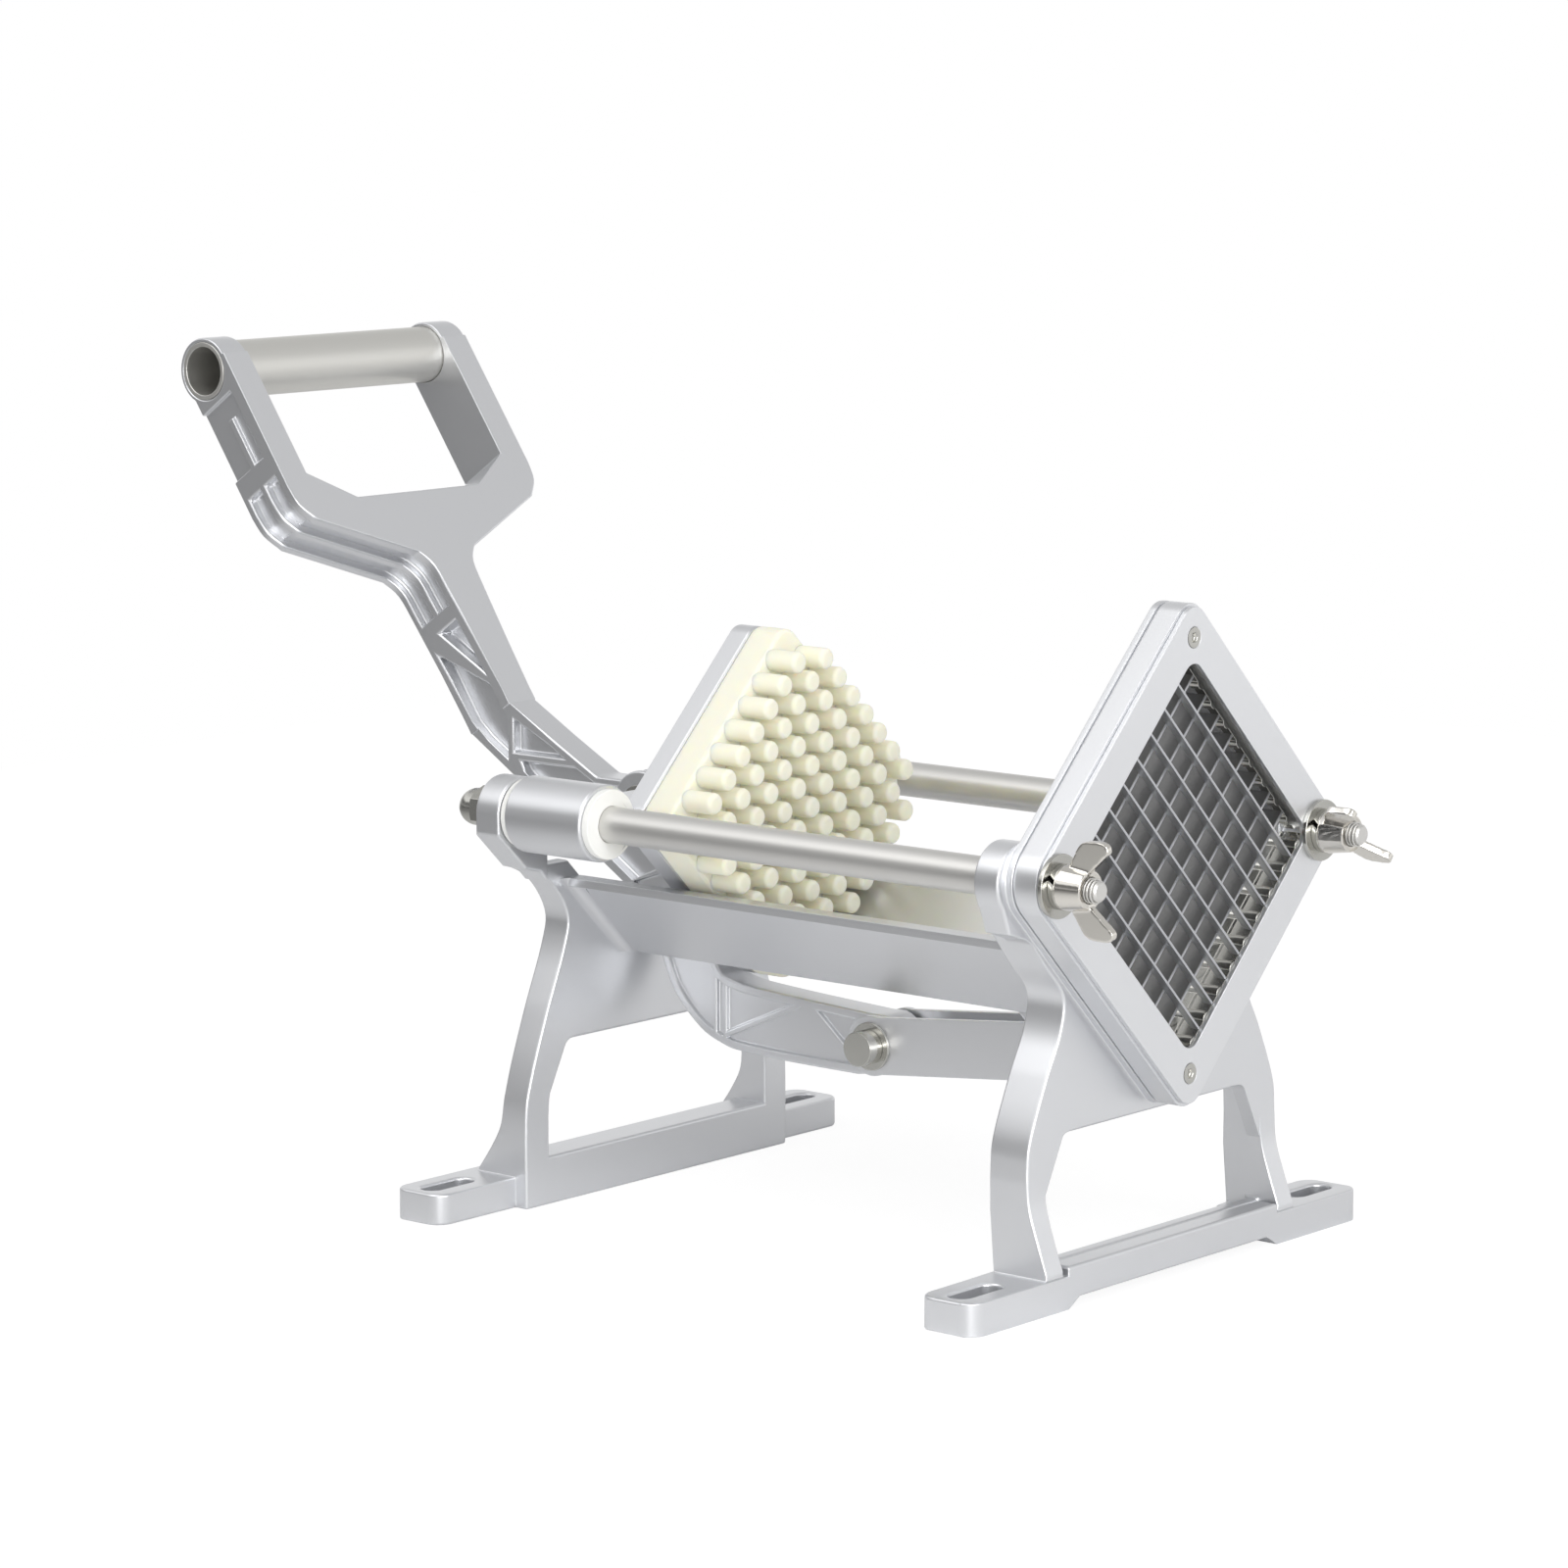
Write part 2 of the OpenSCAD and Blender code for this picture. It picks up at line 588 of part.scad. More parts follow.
// ---- pins with a retaining ring at each end ----
module grooved_pin(d, half, groove_y) difference() {
    pin_y(d, -half, half);
    both_sides() difference() {
        pin_y(d + 2, groove_y, groove_y + clip_t);
        pin_y(d - 2, groove_y - 1, groove_y + clip_t + 1);
    }
}
module clips(d, groove_y) both_sides() difference() {
    pin_y(d + 4.5, groove_y, groove_y + clip_t);
    pin_y(d - 2, groove_y - 1, groove_y + clip_t + 1);
}
lever_pin_groove = fin_out;
link_pin_groove = link_half;
anchor_groove = lug_in + lug_t + 0.4;
module lever_pin() color("gainsboro") at(pivot_p)
    grooved_pin(lever_pin_d, lever_pin_groove + clip_t + 1.5, lever_pin_groove);
module lever_pin_clips() color("gray") at(pivot_p) clips(lever_pin_d, lever_pin_groove);
module link_pin() color("gainsboro") at(pivot_q)
    grooved_pin(pin_d, link_half + 7.5, link_pin_groove);
module link_pin_clips() color("gray") at(pivot_q) clips(pin_d, link_pin_groove);
module anchor_pin() color("gainsboro") at(pivot_r)
    grooved_pin(anchor_d, anchor_groove + clip_t + 1.5, anchor_groove);
module anchor_clips() color("gray") at(pivot_r) clips(anchor_d, anchor_groove);

// ---- lever ----
handle_dir = [-sin(lean), cos(lean)];
handle_out = [cos(lean), sin(lean)];
bend_back = bend - handle_depth * handle_out;
heel = bend_back + [73, -45.7];
function on_handle(t, n) = bend + t * handle_dir + n * handle_out;
// Edges of the lower half of the lever, clockwise: top, inside and outside of the hook.
top_edge = [bend, bend + [19.4, -10.5], bend + [40.3, -21.7], pivot_p + [-14, 6.3]];
inner_edge = curve([pivot_p + [top_eye_r + 6, -19], pivot_p + [21, -36], pivot_p + [25.5, -52],
    pivot_p + [33, -57], pivot_p + [55, -59], pivot_q + [-3, eye_r - 0.3]]);
outer_edge = curve([pivot_q + [-10, -eye_r - 1.4], pivot_q + [-41.1, -11.2],
    pivot_q + [-60.1, -10.4], pivot_q + [-68, -9.1], pivot_q + [-78.5, -4.7],
    pivot_q + [-89.6, 5.7], pivot_q + [-95.3, 16.9], pivot_q + [-101, 30], heel]);
lever_side = concat([on_handle(3, -0.5)], top_edge, arc(pivot_p, top_eye_r, 110, 0, 8),
    inner_edge, arc(pivot_q, eye_r, 80, -90, 12), outer_edge,
    [bend_back + [18.5, -11.6], bend_back, on_handle(3, 0.5 - handle_depth)]);

// Pockets of the lower half, seen from the side. Each lies inside the rims.
under_top = beside(top_edge, rim);
over_heel = beside([heel, bend_back + [18.5, -11.6]], rim);
rib_z = bend[1] - 18.4;        // level rib between the two pockets of the knee
module knee_pockets() {
    polygon([on_handle(36, -13.5), on_handle(36, -rim - 1), on_handle(15.5, -rim - 1)]);
    polygon([on_handle(30, rim - handle_depth), on_handle(9.5, -rim - 1), on_handle(1, -rim - 1),
        bend + [-rim / 2, -rim - 2], [bend[0] - rim / 2, rib_z - 1],
        bend_back + [6.5, -0.6], on_handle(3, rim - handle_depth)]);
    polygon([[bend[0] + rim / 2, bend[1] - 5.5], [bend[0] + rim / 2, rib_z + rim / 2],
        [under_top[1][0] + 6, rib_z + rim / 2], under_top[1] + [0.7, -0.4]]);
    difference() {
        polygon([[bend[0] + 5, rib_z - rim / 2], [under_top[1][0] + 12, rib_z - rim / 2],
            under_top[2], under_top[3], pivot_p + [0, -top_eye_r - rim - 10], over_heel[0],
            over_heel[1] + [5, -2]]);
        translate(pivot_p) circle(top_eye_r + rim);
    }
}
module hook_rib(a, b, w) polygon(concat(beside([a, b], w / 2), back(beside([a, b], -w / 2))));
module hook_pockets() difference() {
    polygon(concat(beside(inner_edge, rim), beside(outer_edge, rim)));
    translate(pivot_p) circle(top_eye_r + rim);
    translate(pivot_q) circle(eye_r + rim);
    for (x = [-71.7, -67.3]) hook_rib(pivot_q + [x, -10], pivot_q + [x, 20], 1.6);
    hook_rib(pivot_q + [-67.4, -5.5], pivot_q + [-33, 9.5], 1.8);
    hook_rib(pivot_q + [-30, 9.5], pivot_q + [-10, -7.3], 1.8);
    hook_rib(pivot_q + [-110, 27], pivot_q + [-60, 27], rim);
}

// Outer edge of the handle from the bend up one side to the grip, as [y, t].
handle_edge = concat([[lever_w / 2 + 0.5, 0], [lever_w / 2 + 0.5, 6]],
    curve([[lever_w / 2 + 1, 20], [9, 44], [10, 56], [14, 62]], 4),
    curve([[handle_half - 6, 79], [handle_half - 1.2, 85], [handle_half, 92]], 4),
    [[handle_half, handle_len]]);
grip_n = -12.3;                // grip axis behind the front face of the handle
eye_wall = 1.5;
groove_from = 42;              // the grooves run along the handle from here
groove_to = 98.5;              // to here
wall_to = 107;                 // top of the cross wall above the grooves
recess_to = 134;               // top of the shallow recess
// A slice of the handle from front to back, with its outer edges set in.
module handle_plate(a, b, inset, from = 0, to = 200) along_x(a, b) difference() {
    intersection() {
        mirrored(back(beside(handle_edge, -inset)));
        translate([-100, from]) square([200, to - from]);
    }
    translate([0, 86]) polygon([[-30.5, 0], [30.5, 0], [handle_half - arm_w, 11],
        [handle_half - arm_w, 90], [-handle_half + arm_w, 90], [-handle_half + arm_w, 11]]);
}
module lever() color("silver") difference() {
    union() {
        along_y(-lever_w / 2, lever_w / 2) polygon(lever_side);
        at(bend) rotate([0, -lean, 0]) {
            handle_plate(-rim - 0.5, 0, 0);
            handle_plate(-handle_depth, 0, 0, 0, groove_from);
            handle_plate(-handle_depth, 0, 3.2, groove_from - 1, groove_to + 1);
            handle_plate(-handle_depth / 2 - 1.5, -handle_depth / 2 + 1.5, 0, groove_from - 1,
                recess_to - 8);
            handle_plate(-handle_depth, -handle_depth + rim, 0, groove_from - 1, groove_to + 1);
            handle_plate(-handle_depth, 0, 0, groove_to, wall_to);
            handle_plate(-handle_depth, 0, 1.5, wall_to - 1);
            handle_plate(-5, 0, 0, wall_to - 1);
            handle_plate(-handle_depth, 0, 0, recess_to);
            both_sides() translate([grip_n, 0, handle_len])
                pin_y(grip_d + 2 * eye_wall, handle_half - arm_w, handle_half);
        }
    }
    both_sides() {
        along_y(neck_web / 2, 50) knee_pockets();
        along_y(hook_web / 2, 50) hook_pockets();
    }
    at(bend) rotate([0, -lean, 0]) translate([grip_n, 0, handle_len]) pin_y(grip_d, -100, 100);
    at(pivot_p) pin_y(lever_pin_d + 2 * slide_fit, -50, 50);
    at(pivot_q) pin_y(pin_d + 2 * slide_fit, -50, 50);
}
module grip_tube() color("lightgray") at(bend) rotate([0, -lean, 0])
    translate([grip_n, 0, handle_len]) difference() {
        pin_y(grip_d, -handle_half, handle_half);
        pin_y(grip_d - 2 * grip_wall, -100, 100);
    }

// ---- link: a channel, open on top, with a round ear at each end ----
module link() color("silver") at(pivot_q) rotate([0, -link_angle, 0]) difference() {
    union() {
        both_sides() along_y(link_in, link_half) {
            circle(eye_r);
            translate([link_len, 0]) circle(link_h / 2);
            translate([0, -link_h / 2]) square([link_len, link_h]);
        }
        translate([24.5, -link_half, -link_h / 2])
            cube([link_len - 24.5 + 6, 2 * link_half, link_wall]);
    }
    pin_y(pin_d, -50, 50);
    translate([link_len, 0, 0]) pin_y(anchor_d, -50, 50);
}

front_frame();
trough();
rear_frame();
guide_rod_left();
guide_rod_right();
rear_washers();
rear_nuts();
blade_holder();
blades_rear();
blades_front();
blade_frame();
blade_screws();
front_washers();
spring_washers();
wing_nut_left();
wing_nut_right();
carriage();
bushes_front();
bushes_rear();
push_block();
block_screws();
lever_pin();
lever_pin_clips();
lever();
grip_tube();
link();
link_pin();
link_pin_clips();
anchor_pin();
anchor_clips();
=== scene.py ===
"""Looks of a lever-operated french fry cutter, laid out as an add-on and run as a script.

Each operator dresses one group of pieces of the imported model: cast body, lever,
blade cassette, rods, nuts, push block and linkage. The stage operator adds the
camera, the floor and the light.
"""

import heapq
import math

import bmesh
import bpy
from bpy.props import FloatProperty, FloatVectorProperty, IntProperty, PointerProperty
from bpy.types import Operator, Panel, PropertyGroup
from mathutils import Matrix, Vector
from mathutils.geometry import area_tri, delaunay_2d_cdt


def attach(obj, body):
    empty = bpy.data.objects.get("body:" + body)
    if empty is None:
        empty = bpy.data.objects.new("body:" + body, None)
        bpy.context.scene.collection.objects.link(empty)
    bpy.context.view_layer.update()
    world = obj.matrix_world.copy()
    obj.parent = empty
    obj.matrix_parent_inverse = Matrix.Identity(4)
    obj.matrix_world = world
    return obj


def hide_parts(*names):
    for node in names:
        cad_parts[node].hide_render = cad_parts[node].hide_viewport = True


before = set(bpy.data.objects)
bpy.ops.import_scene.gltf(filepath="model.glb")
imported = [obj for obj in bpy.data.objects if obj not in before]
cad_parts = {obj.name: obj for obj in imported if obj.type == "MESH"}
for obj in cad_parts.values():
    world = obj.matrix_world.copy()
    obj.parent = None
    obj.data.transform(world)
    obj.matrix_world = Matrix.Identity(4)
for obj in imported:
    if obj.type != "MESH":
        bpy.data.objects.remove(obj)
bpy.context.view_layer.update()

bl_info = {
    "name": "French fry cutter",
    "version": (1, 0, 0),
    "blender": (4, 5, 0),
    "location": "View3D > Sidebar > Fry cutter",
    "description": "Dresses the pieces of a lever-operated french fry cutter",
    "category": "Object",
}

MM = 0.001

# Noise of the finishes, in features per metre, and the depth of their fine grain.
BROAD_NOISE = 28.0
SWELL_NOISE = 95.0
STREAK_NOISE = 420.0
GRAIN_DEPTH = 0.05 * MM

# How the loose triangles of a CAD node become whole faces.
SAME_POINT = 0.002 * MM
SAME_FACE = math.radians(0.4)

# Share of a neighbouring face or edge that a rounded edge may take up, and how many
# widths of the rounding across a face counts as narrow.
EDGE_SHARE = 0.42
FACE_SHARE = 0.45
NARROW = 2.2


# ---- sizes and colours that a user would change ----
def length(name, description, default):
    """A length property whose default is given in millimetres."""
    return FloatProperty(
        name=name, description=description, default=default * MM, min=0.0, unit="LENGTH"
    )


def colour(name, description, default):
    """A colour property."""
    return FloatVectorProperty(
        name=name, description=description, default=default, size=3, min=0.0, max=1.0, subtype="COLOR"
    )


class CutterSizes(PropertyGroup):
    """Sizes of the detail that the finish adds to the pieces."""

    cast_edge: length("Cast edge", "Rounding of the edges of the castings", 1.0)
    turned_edge: length("Turned edge", "Rounding of the edges of turned and pressed pieces", 0.3)
    wing_grain: length("Wing grain", "Fineness of the soft skin of the wing nuts", 0.3)
    blade_pitch: length("Blade pitch", "Distance between blades", 9.89)
    blade_thickness: length("Blade thickness", "Thickness of one blade", 0.8)
    blade_grind: length("Blade grind", "Depth of the ground cutting edge", 2.5)
    # The front edges of the rear blades are a white strip: a painted glint.
    painted_glint_edge: length("Bright edge", "Depth of the bright front edge of the rear blades", 0.3)
    blade_count: IntProperty(name="Blades", description="Blades in each row", default=8, min=2, max=12)
    bar_width: length("Bar width", "Width of the bars that hold the blade ends", 3.5)
    bar_depth: length("Bar depth", "Depth of those bars from front to back", 3.5)
    bar_gap: length("Bar gap", "Gap between the bars where they meet in a corner", 0.2)
    tooth_radius: length("Tooth radius", "Radius of the teeth between the blades", 2.2)
    tooth_reach: length("Tooth reach", "How far a tooth stands into the opening", 1)
    rod_height: length("Rod height", "Height of the rod axes above the bench", 135)
    rod_side: length("Rod side", "Distance of a rod axis from the middle", 69.2)
    rod_diameter: length("Rod diameter", "Diameter of the guide rods", 12)
    rod_bevel: length("Rod bevel", "Bevel at the shoulders and ends of the rods", 0.6)
    stud_diameter: length("Stud diameter", "Diameter of the threaded rod ends", 8)
    thread_pitch: length("Thread pitch", "Pitch of the thread on the rod ends", 1.25)
    thread_depth: length("Thread depth", "Depth of that thread", 0.7)
    washer_play: length("Washer play", "Play of a spring washer round the rod end", 0.1)
    socket_width: length("Socket width", "Width of the socket in a cassette screw", 3.6)
    socket_depth: length("Socket depth", "Depth of the socket in a cassette screw", 1.1)
    washer_gap: length("Washer gap", "Gap in a spring washer", 1.6)
    block_side: length("Block side", "Side of the square push block", 87)
    block_corner: length("Block corner", "Corner radius of the push block", 7)
    block_edge: length("Block edge", "Rounding of the edges of the push block", 1.4)
    finger_diameter: length("Finger diameter", "Diameter of a finger of the push block", 7.2)
    finger_length: length("Finger length", "Length of a finger of the push block", 12)
    finger_root: length("Finger root", "Depth of a finger inside the push block", 0.5)
    finger_tip: length("Finger tip", "Rounding of the tips of the fingers", 1.6)


class CutterColours(PropertyGroup):
    """Base colours of the finishes."""

    cast: colour("Cast aluminium", "Satin casting", (0.64, 0.65, 0.67))
    machined: colour("Machined aluminium", "Fine satin faces of the cassette", (0.6, 0.61, 0.625))
    steel: colour("Ground steel", "Rods", (0.50, 0.49, 0.47))
    # Front blades near white and rear blades near black: painted light and painted shade on one blade
    # steel.
    blade: colour("Blade steel", "Front blades", (0.95, 0.95, 0.95))
    painted_shade_blade: colour("Dark blade steel", "Rear blades", (0.17, 0.17, 0.17))
    plated: colour("Plated steel", "Washers, nuts, pins and screws", (0.52, 0.515, 0.485))
    nickel: colour("Nickel plate", "Wing nuts", (0.52, 0.505, 0.465))
    nylon: colour("White nylon", "Bushes", (0.86, 0.86, 0.845))
    ivory: colour("Ivory plastic", "Push block", (0.97, 0.95, 0.82))
    grip: colour("Grip steel", "Grip tube", (0.63, 0.62, 0.60))


class CutterStage(PropertyGroup):
    """Floor and light."""

    floor: colour("Floor", "Colour of the floor", (0.93, 0.93, 0.93))
    key: FloatProperty(
        name="Lamps", description="Power that the lamps share out", default=6.0, min=0.0, unit="POWER"
    )
    sky: FloatProperty(
        name="Sky", description="Strength of the even light from all sides", default=0.55, min=0.0
    )
    bands: FloatProperty(
        name="Bands", description="Brightness of what metal mirrors", default=1.2, min=0.0
    )


def sizes():
    return bpy.context.scene.cutter_sizes


def colours():
    return bpy.context.scene.cutter_colours


# ---- node helpers ----
def chain(nodes, links, kind, inputs=None, **settings):
    """Adds a node, sets its values and links its inputs."""
    node = nodes.new(kind)
    for key, value in settings.items():
        setattr(node, key, value)
    for key, value in (inputs or {}).items():
        if isinstance(value, bpy.types.NodeSocket):
            links.new(value, node.inputs[key])
        else:
            node.inputs[key].default_value = value
    return node


def ramp(nodes, links, source, low, high, start=0.3, end=0.7):
    """Turns a 0 to 1 pattern into a range of values."""
    node = chain(
        nodes, links, "ShaderNodeMapRange",
        {"Value": source, "From Min": start, "From Max": end, "To Min": low, "To Max": high},
    )
    return node.outputs["Result"]


def pattern(nodes, links, scale, stretch=(1.0, 1.0, 1.0), detail=3.0):
    """Noise in object space, in features per metre, drawn out along the axes with a small stretch."""
    place = nodes.new("ShaderNodeTexCoord")
    mapping = chain(
        nodes, links, "ShaderNodeMapping", {"Vector": place.outputs["Object"], "Scale": stretch}
    )
    noise = chain(
        nodes, links, "ShaderNodeTexNoise",
        {"Vector": mapping.outputs["Vector"], "Scale": scale, "Detail": detail},
    )
    return noise.outputs["Fac"]


def tinted(nodes, links, source, rgb, spread):
    """A colour that wanders a little darker and lighter."""
    dark = tuple(c * (1 - spread) for c in rgb) + (1.0,)
    light = tuple(min(c * (1 + spread), 1.0) for c in rgb) + (1.0,)
    mix = chain(nodes, links, "ShaderNodeMix", {"Factor": source}, data_type="RGBA")
    mix.inputs[6].default_value = dark
    mix.inputs[7].default_value = light
    return mix.outputs[2]


def finish(name, rgb, metallic, roughness, spread, grain, bump, streak=None, swell=0.0):
    """A shader with wandering colour and gloss and a fine grain, drawn out where streak is given.

    Spread is how far the colour wanders, grain the fineness of the grain, bump its strength
    and swell the depth of the slow unevenness of a cast skin.
    """
    material = bpy.data.materials.get(name)
    if material:
        return material
    material = bpy.data.materials.new(name)
    material.use_nodes = True
    nodes, links = material.node_tree.nodes, material.node_tree.links
    shader = nodes["Principled BSDF"]
    stretch = streak or (1.0, 1.0, 1.0)
    broad = pattern(nodes, links, STREAK_NOISE if streak else BROAD_NOISE, stretch, detail=2.0)
    fine = pattern(nodes, links, grain, stretch, detail=2.0)
    base = tinted(nodes, links, ramp(nodes, links, broad, 0.0, 1.0), rgb, spread)
    links.new(base, shader.inputs["Base Color"])
    gloss = ramp(nodes, links, fine, roughness - 0.05, roughness + 0.07)
    links.new(gloss, shader.inputs["Roughness"])
    height = chain(
        nodes, links, "ShaderNodeBump",
        {"Strength": bump, "Distance": GRAIN_DEPTH, "Height": fine},
    )
    if swell:
        slow = pattern(nodes, links, SWELL_NOISE, detail=2.0)
        uneven = chain(
            nodes, links, "ShaderNodeBump",
            {"Strength": 1.0, "Distance": swell, "Height": slow, "Normal": height.outputs["Normal"]},
        )
        links.new(uneven.outputs["Normal"], shader.inputs["Normal"])
    else:
        links.new(height.outputs["Normal"], shader.inputs["Normal"])
    shader.inputs["Metallic"].default_value = metallic
    return material


def cast_aluminium():
    return finish(
        "cast_aluminium", tuple(colours().cast), metallic=1.0, roughness=0.34,
        spread=0.06, grain=900.0, bump=0.45, swell=0.12 * MM,
    )


def machined_aluminium():
    return finish(
        "machined_aluminium", tuple(colours().machined), metallic=1.0, roughness=0.33,
        spread=0.03, grain=1500.0, bump=0.25,
    )


# The broad colour stripes along the rods are grinding marks and painted reflection bands both.
def ground_steel():
    return finish(
        "ground_steel", tuple(colours().steel), metallic=1.0, roughness=0.13,
        spread=0.3, grain=1600.0, bump=0.25, streak=(0.02, 1.0, 1.0),
    )


def grip_steel():
    return finish(
        "grip_steel", tuple(colours().grip), metallic=1.0, roughness=0.22,
        spread=0.12, grain=1600.0, bump=0.3, streak=(1.0, 0.02, 1.0),
    )


# Near white and not metallic: the front blades carry painted light.
def blade_steel():
    return finish(
        "blade_steel", tuple(colours().blade), metallic=0.0, roughness=0.4,
        spread=0.05, grain=1400.0, bump=0.2,
    )


# Near black: the rear blades carry painted shade, seen in the cells.
def painted_shade_blade_steel():
    return finish(
        "painted_shade_blade_steel", tuple(colours().painted_shade_blade), metallic=0.8, roughness=0.4,
        spread=0.2, grain=1100.0, bump=0.35,
    )


def plated_steel():
    return finish(
        "plated_steel", tuple(colours().plated), metallic=1.0, roughness=0.18,
        spread=0.08, grain=1800.0, bump=0.2,
    )


def nickel_plate():
    return finish(
        "nickel_plate", tuple(colours().nickel), metallic=1.0, roughness=0.14,
        spread=0.08, grain=900.0, bump=0.3, swell=0.1 * MM,
    )


def white_nylon():
    return finish(
        "white_nylon", tuple(colours().nylon), metallic=0.0, roughness=0.42,
        spread=0.02, grain=1200.0, bump=0.1,
    )


def ivory_plastic():
    material = finish(
        "ivory_plastic", tuple(colours().ivory), metallic=0.0, roughness=0.38,
        spread=0.025, grain=700.0, bump=0.08,
    )
    shader = material.node_tree.nodes["Principled BSDF"]
    shader.inputs["Subsurface Weight"].default_value = 0.6
    shader.inputs["Subsurface Radius"].default_value = (4.5 * MM, 3.4 * MM, 1.6 * MM)
    shader.inputs["Subsurface Scale"].default_value = 1.0
    return material


# ---- trees of geometry nodes ----
def new_tree(name, *inputs):
    """A geometry tree with named inputs after its geometry; the last one is its material."""
    tree = bpy.data.node_groups.new(name, "GeometryNodeTree")
    tree.interface.new_socket("Geometry", in_out="INPUT", socket_type="NodeSocketGeometry")
    for label, kind in (*inputs, ("Material", "NodeSocketMaterial")):
        tree.interface.new_socket(label, in_out="INPUT", socket_type=kind)
    tree.interface.new_socket("Geometry", in_out="OUTPUT", socket_type="NodeSocketGeometry")
    return tree, tree.nodes.new("NodeGroupInput").outputs


def finished_tree(tree, entry, geometry):
    """Ends a tree with real geometry in its material."""
    nodes, links = tree.nodes, tree.links
    real = chain(nodes, links, "GeometryNodeRealizeInstances", {"Geometry": geometry})
    painted = chain(
        nodes, links, "GeometryNodeSetMaterial",
        {"Geometry": real.outputs["Geometry"], "Material": entry["Material"]},
    )
    chain(nodes, links, "NodeGroupOutput", {"Geometry": painted.outputs["Geometry"]})
    return tree


def span_of(nodes, links, count, pitch):
    """Length of a row of points."""
    steps = chain(nodes, links, "ShaderNodeMath", {0: count, 1: 1.0}, operation="SUBTRACT")
    span = chain(nodes, links, "ShaderNodeMath", {0: steps.outputs[0], 1: pitch}, operation="MULTIPLY")
    return span.outputs[0]


def row_tree():
    """Repeats a shape in a straight row, half of it to each side of its place."""
    tree, entry = new_tree(
        "Row", ("Count", "NodeSocketInt"), ("Pitch", "NodeSocketFloat"), ("Direction", "NodeSocketVector")
    )
    nodes, links = tree.nodes, tree.links
    step = chain(
        nodes, links, "ShaderNodeVectorMath", {0: entry["Direction"], "Scale": entry["Pitch"]},
        operation="SCALE",
    )
    span = span_of(nodes, links, entry["Count"], -0.5)
    start = chain(
        nodes, links, "ShaderNodeVectorMath", {0: step.outputs[0], "Scale": span}, operation="SCALE"
    )
    line = chain(
        nodes, links, "GeometryNodeMeshLine",
        {"Count": entry["Count"], "Start Location": start.outputs[0], "Offset": step.outputs[0]},
    )
    copies = chain(
        nodes, links, "GeometryNodeInstanceOnPoints",
        {"Points": line.outputs["Mesh"], "Instance": entry["Geometry"]},
    )
    return finished_tree(tree, entry, copies.outputs["Instances"])


def finger_tree():
    """Repeats a shape on a square grid across X that stands on its corner, without its four corners."""
    tree, entry = new_tree("Fingers", ("Count", "NodeSocketInt"), ("Pitch", "NodeSocketFloat"))
    nodes, links = tree.nodes, tree.links
    span = span_of(nodes, links, entry["Count"], entry["Pitch"])
    grid = chain(
        nodes, links, "GeometryNodeMeshGrid",
        {"Size X": span, "Size Y": span, "Vertices X": entry["Count"], "Vertices Y": entry["Count"]},
    )
    point = nodes.new("GeometryNodeInputPosition").outputs[0]
    place = chain(nodes, links, "ShaderNodeVectorMath", {0: point}, operation="ABSOLUTE")
    away = chain(nodes, links, "ShaderNodeSeparateXYZ", {0: place.outputs[0]})
    nearer = chain(
        nodes, links, "ShaderNodeMath", {0: away.outputs[0], 1: away.outputs[1]}, operation="MINIMUM"
    )
    reach = chain(nodes, links, "ShaderNodeMath", {0: span, 1: 0.49}, operation="MULTIPLY")
    corner = chain(
        nodes, links, "FunctionNodeCompare", {"A": nearer.outputs[0], "B": reach.outputs[0]},
        data_type="FLOAT", operation="GREATER_THAN",
    )
    kept = chain(
        nodes, links, "GeometryNodeDeleteGeometry",
        {"Geometry": grid.outputs["Mesh"], "Selection": corner.outputs["Result"]}, domain="POINT",
    )
    turn = (math.radians(90), math.radians(45), math.radians(90))
    stood = chain(
        nodes, links, "GeometryNodeTransform", {"Geometry": kept.outputs["Geometry"], "Rotation": turn}
    )
    copies = chain(
        nodes, links, "GeometryNodeInstanceOnPoints",
        {"Points": stood.outputs["Geometry"], "Instance": entry["Geometry"]},
    )
    return finished_tree(tree, entry, copies.outputs["Instances"])


def thread_tree():
    """Winds a thread along X round a rod end and adds it to the rod."""
    tree, entry = new_tree(
        "Thread", ("Turns", "NodeSocketFloat"), ("Radius", "NodeSocketFloat"),
        ("Length", "NodeSocketFloat"), ("Ridge", "NodeSocketFloat"), ("Place", "NodeSocketVector"),
    )
    nodes, links = tree.nodes, tree.links
    spiral = chain(
        nodes, links, "GeometryNodeCurveSpiral",
        {
            "Resolution": 32, "Rotations": entry["Turns"], "Start Radius": entry["Radius"],
            "End Radius": entry["Radius"], "Height": entry["Length"],
        },
    )
    ridge = chain(
        nodes, links, "GeometryNodeCurvePrimitiveCircle", {"Resolution": 6, "Radius": entry["Ridge"]}
    )
    wound = chain(
        nodes, links, "GeometryNodeCurveToMesh",
        {"Curve": spiral.outputs["Curve"], "Profile Curve": ridge.outputs["Curve"], "Fill Caps": True},
    )
    laid = chain(
        nodes, links, "GeometryNodeTransform",
        {
            "Geometry": wound.outputs["Mesh"], "Translation": entry["Place"],
            "Rotation": (0.0, math.radians(90), 0.0),
        },
    )
    both = chain(nodes, links, "GeometryNodeJoinGeometry", {"Geometry": laid.outputs["Geometry"]})
    links.new(entry["Geometry"], both.inputs["Geometry"])
    return finished_tree(tree, entry, both.outputs["Geometry"])


def grown(piece, tree, values):
    """Runs a tree on the piece, with its inputs set by their identifiers."""
    modifier = piece.modifiers.new(tree.name, "NODES")
    modifier.node_group = tree
    values = dict(values, Material=piece.data.materials[0])
    for item in tree.interface.items_tree:
        if item.item_type == "SOCKET" and item.in_out == "INPUT" and item.name in values:
            modifier[item.identifier] = values[item.name]
    return applied(piece)


# ---- mesh helpers ----
def plain_object(name, mesh, material):
    """An object at the origin with one material."""
    piece = bpy.data.objects.new(name, mesh)
    bpy.context.scene.collection.objects.link(piece)
    mesh.materials.clear()
    mesh.materials.append(material)
    return piece


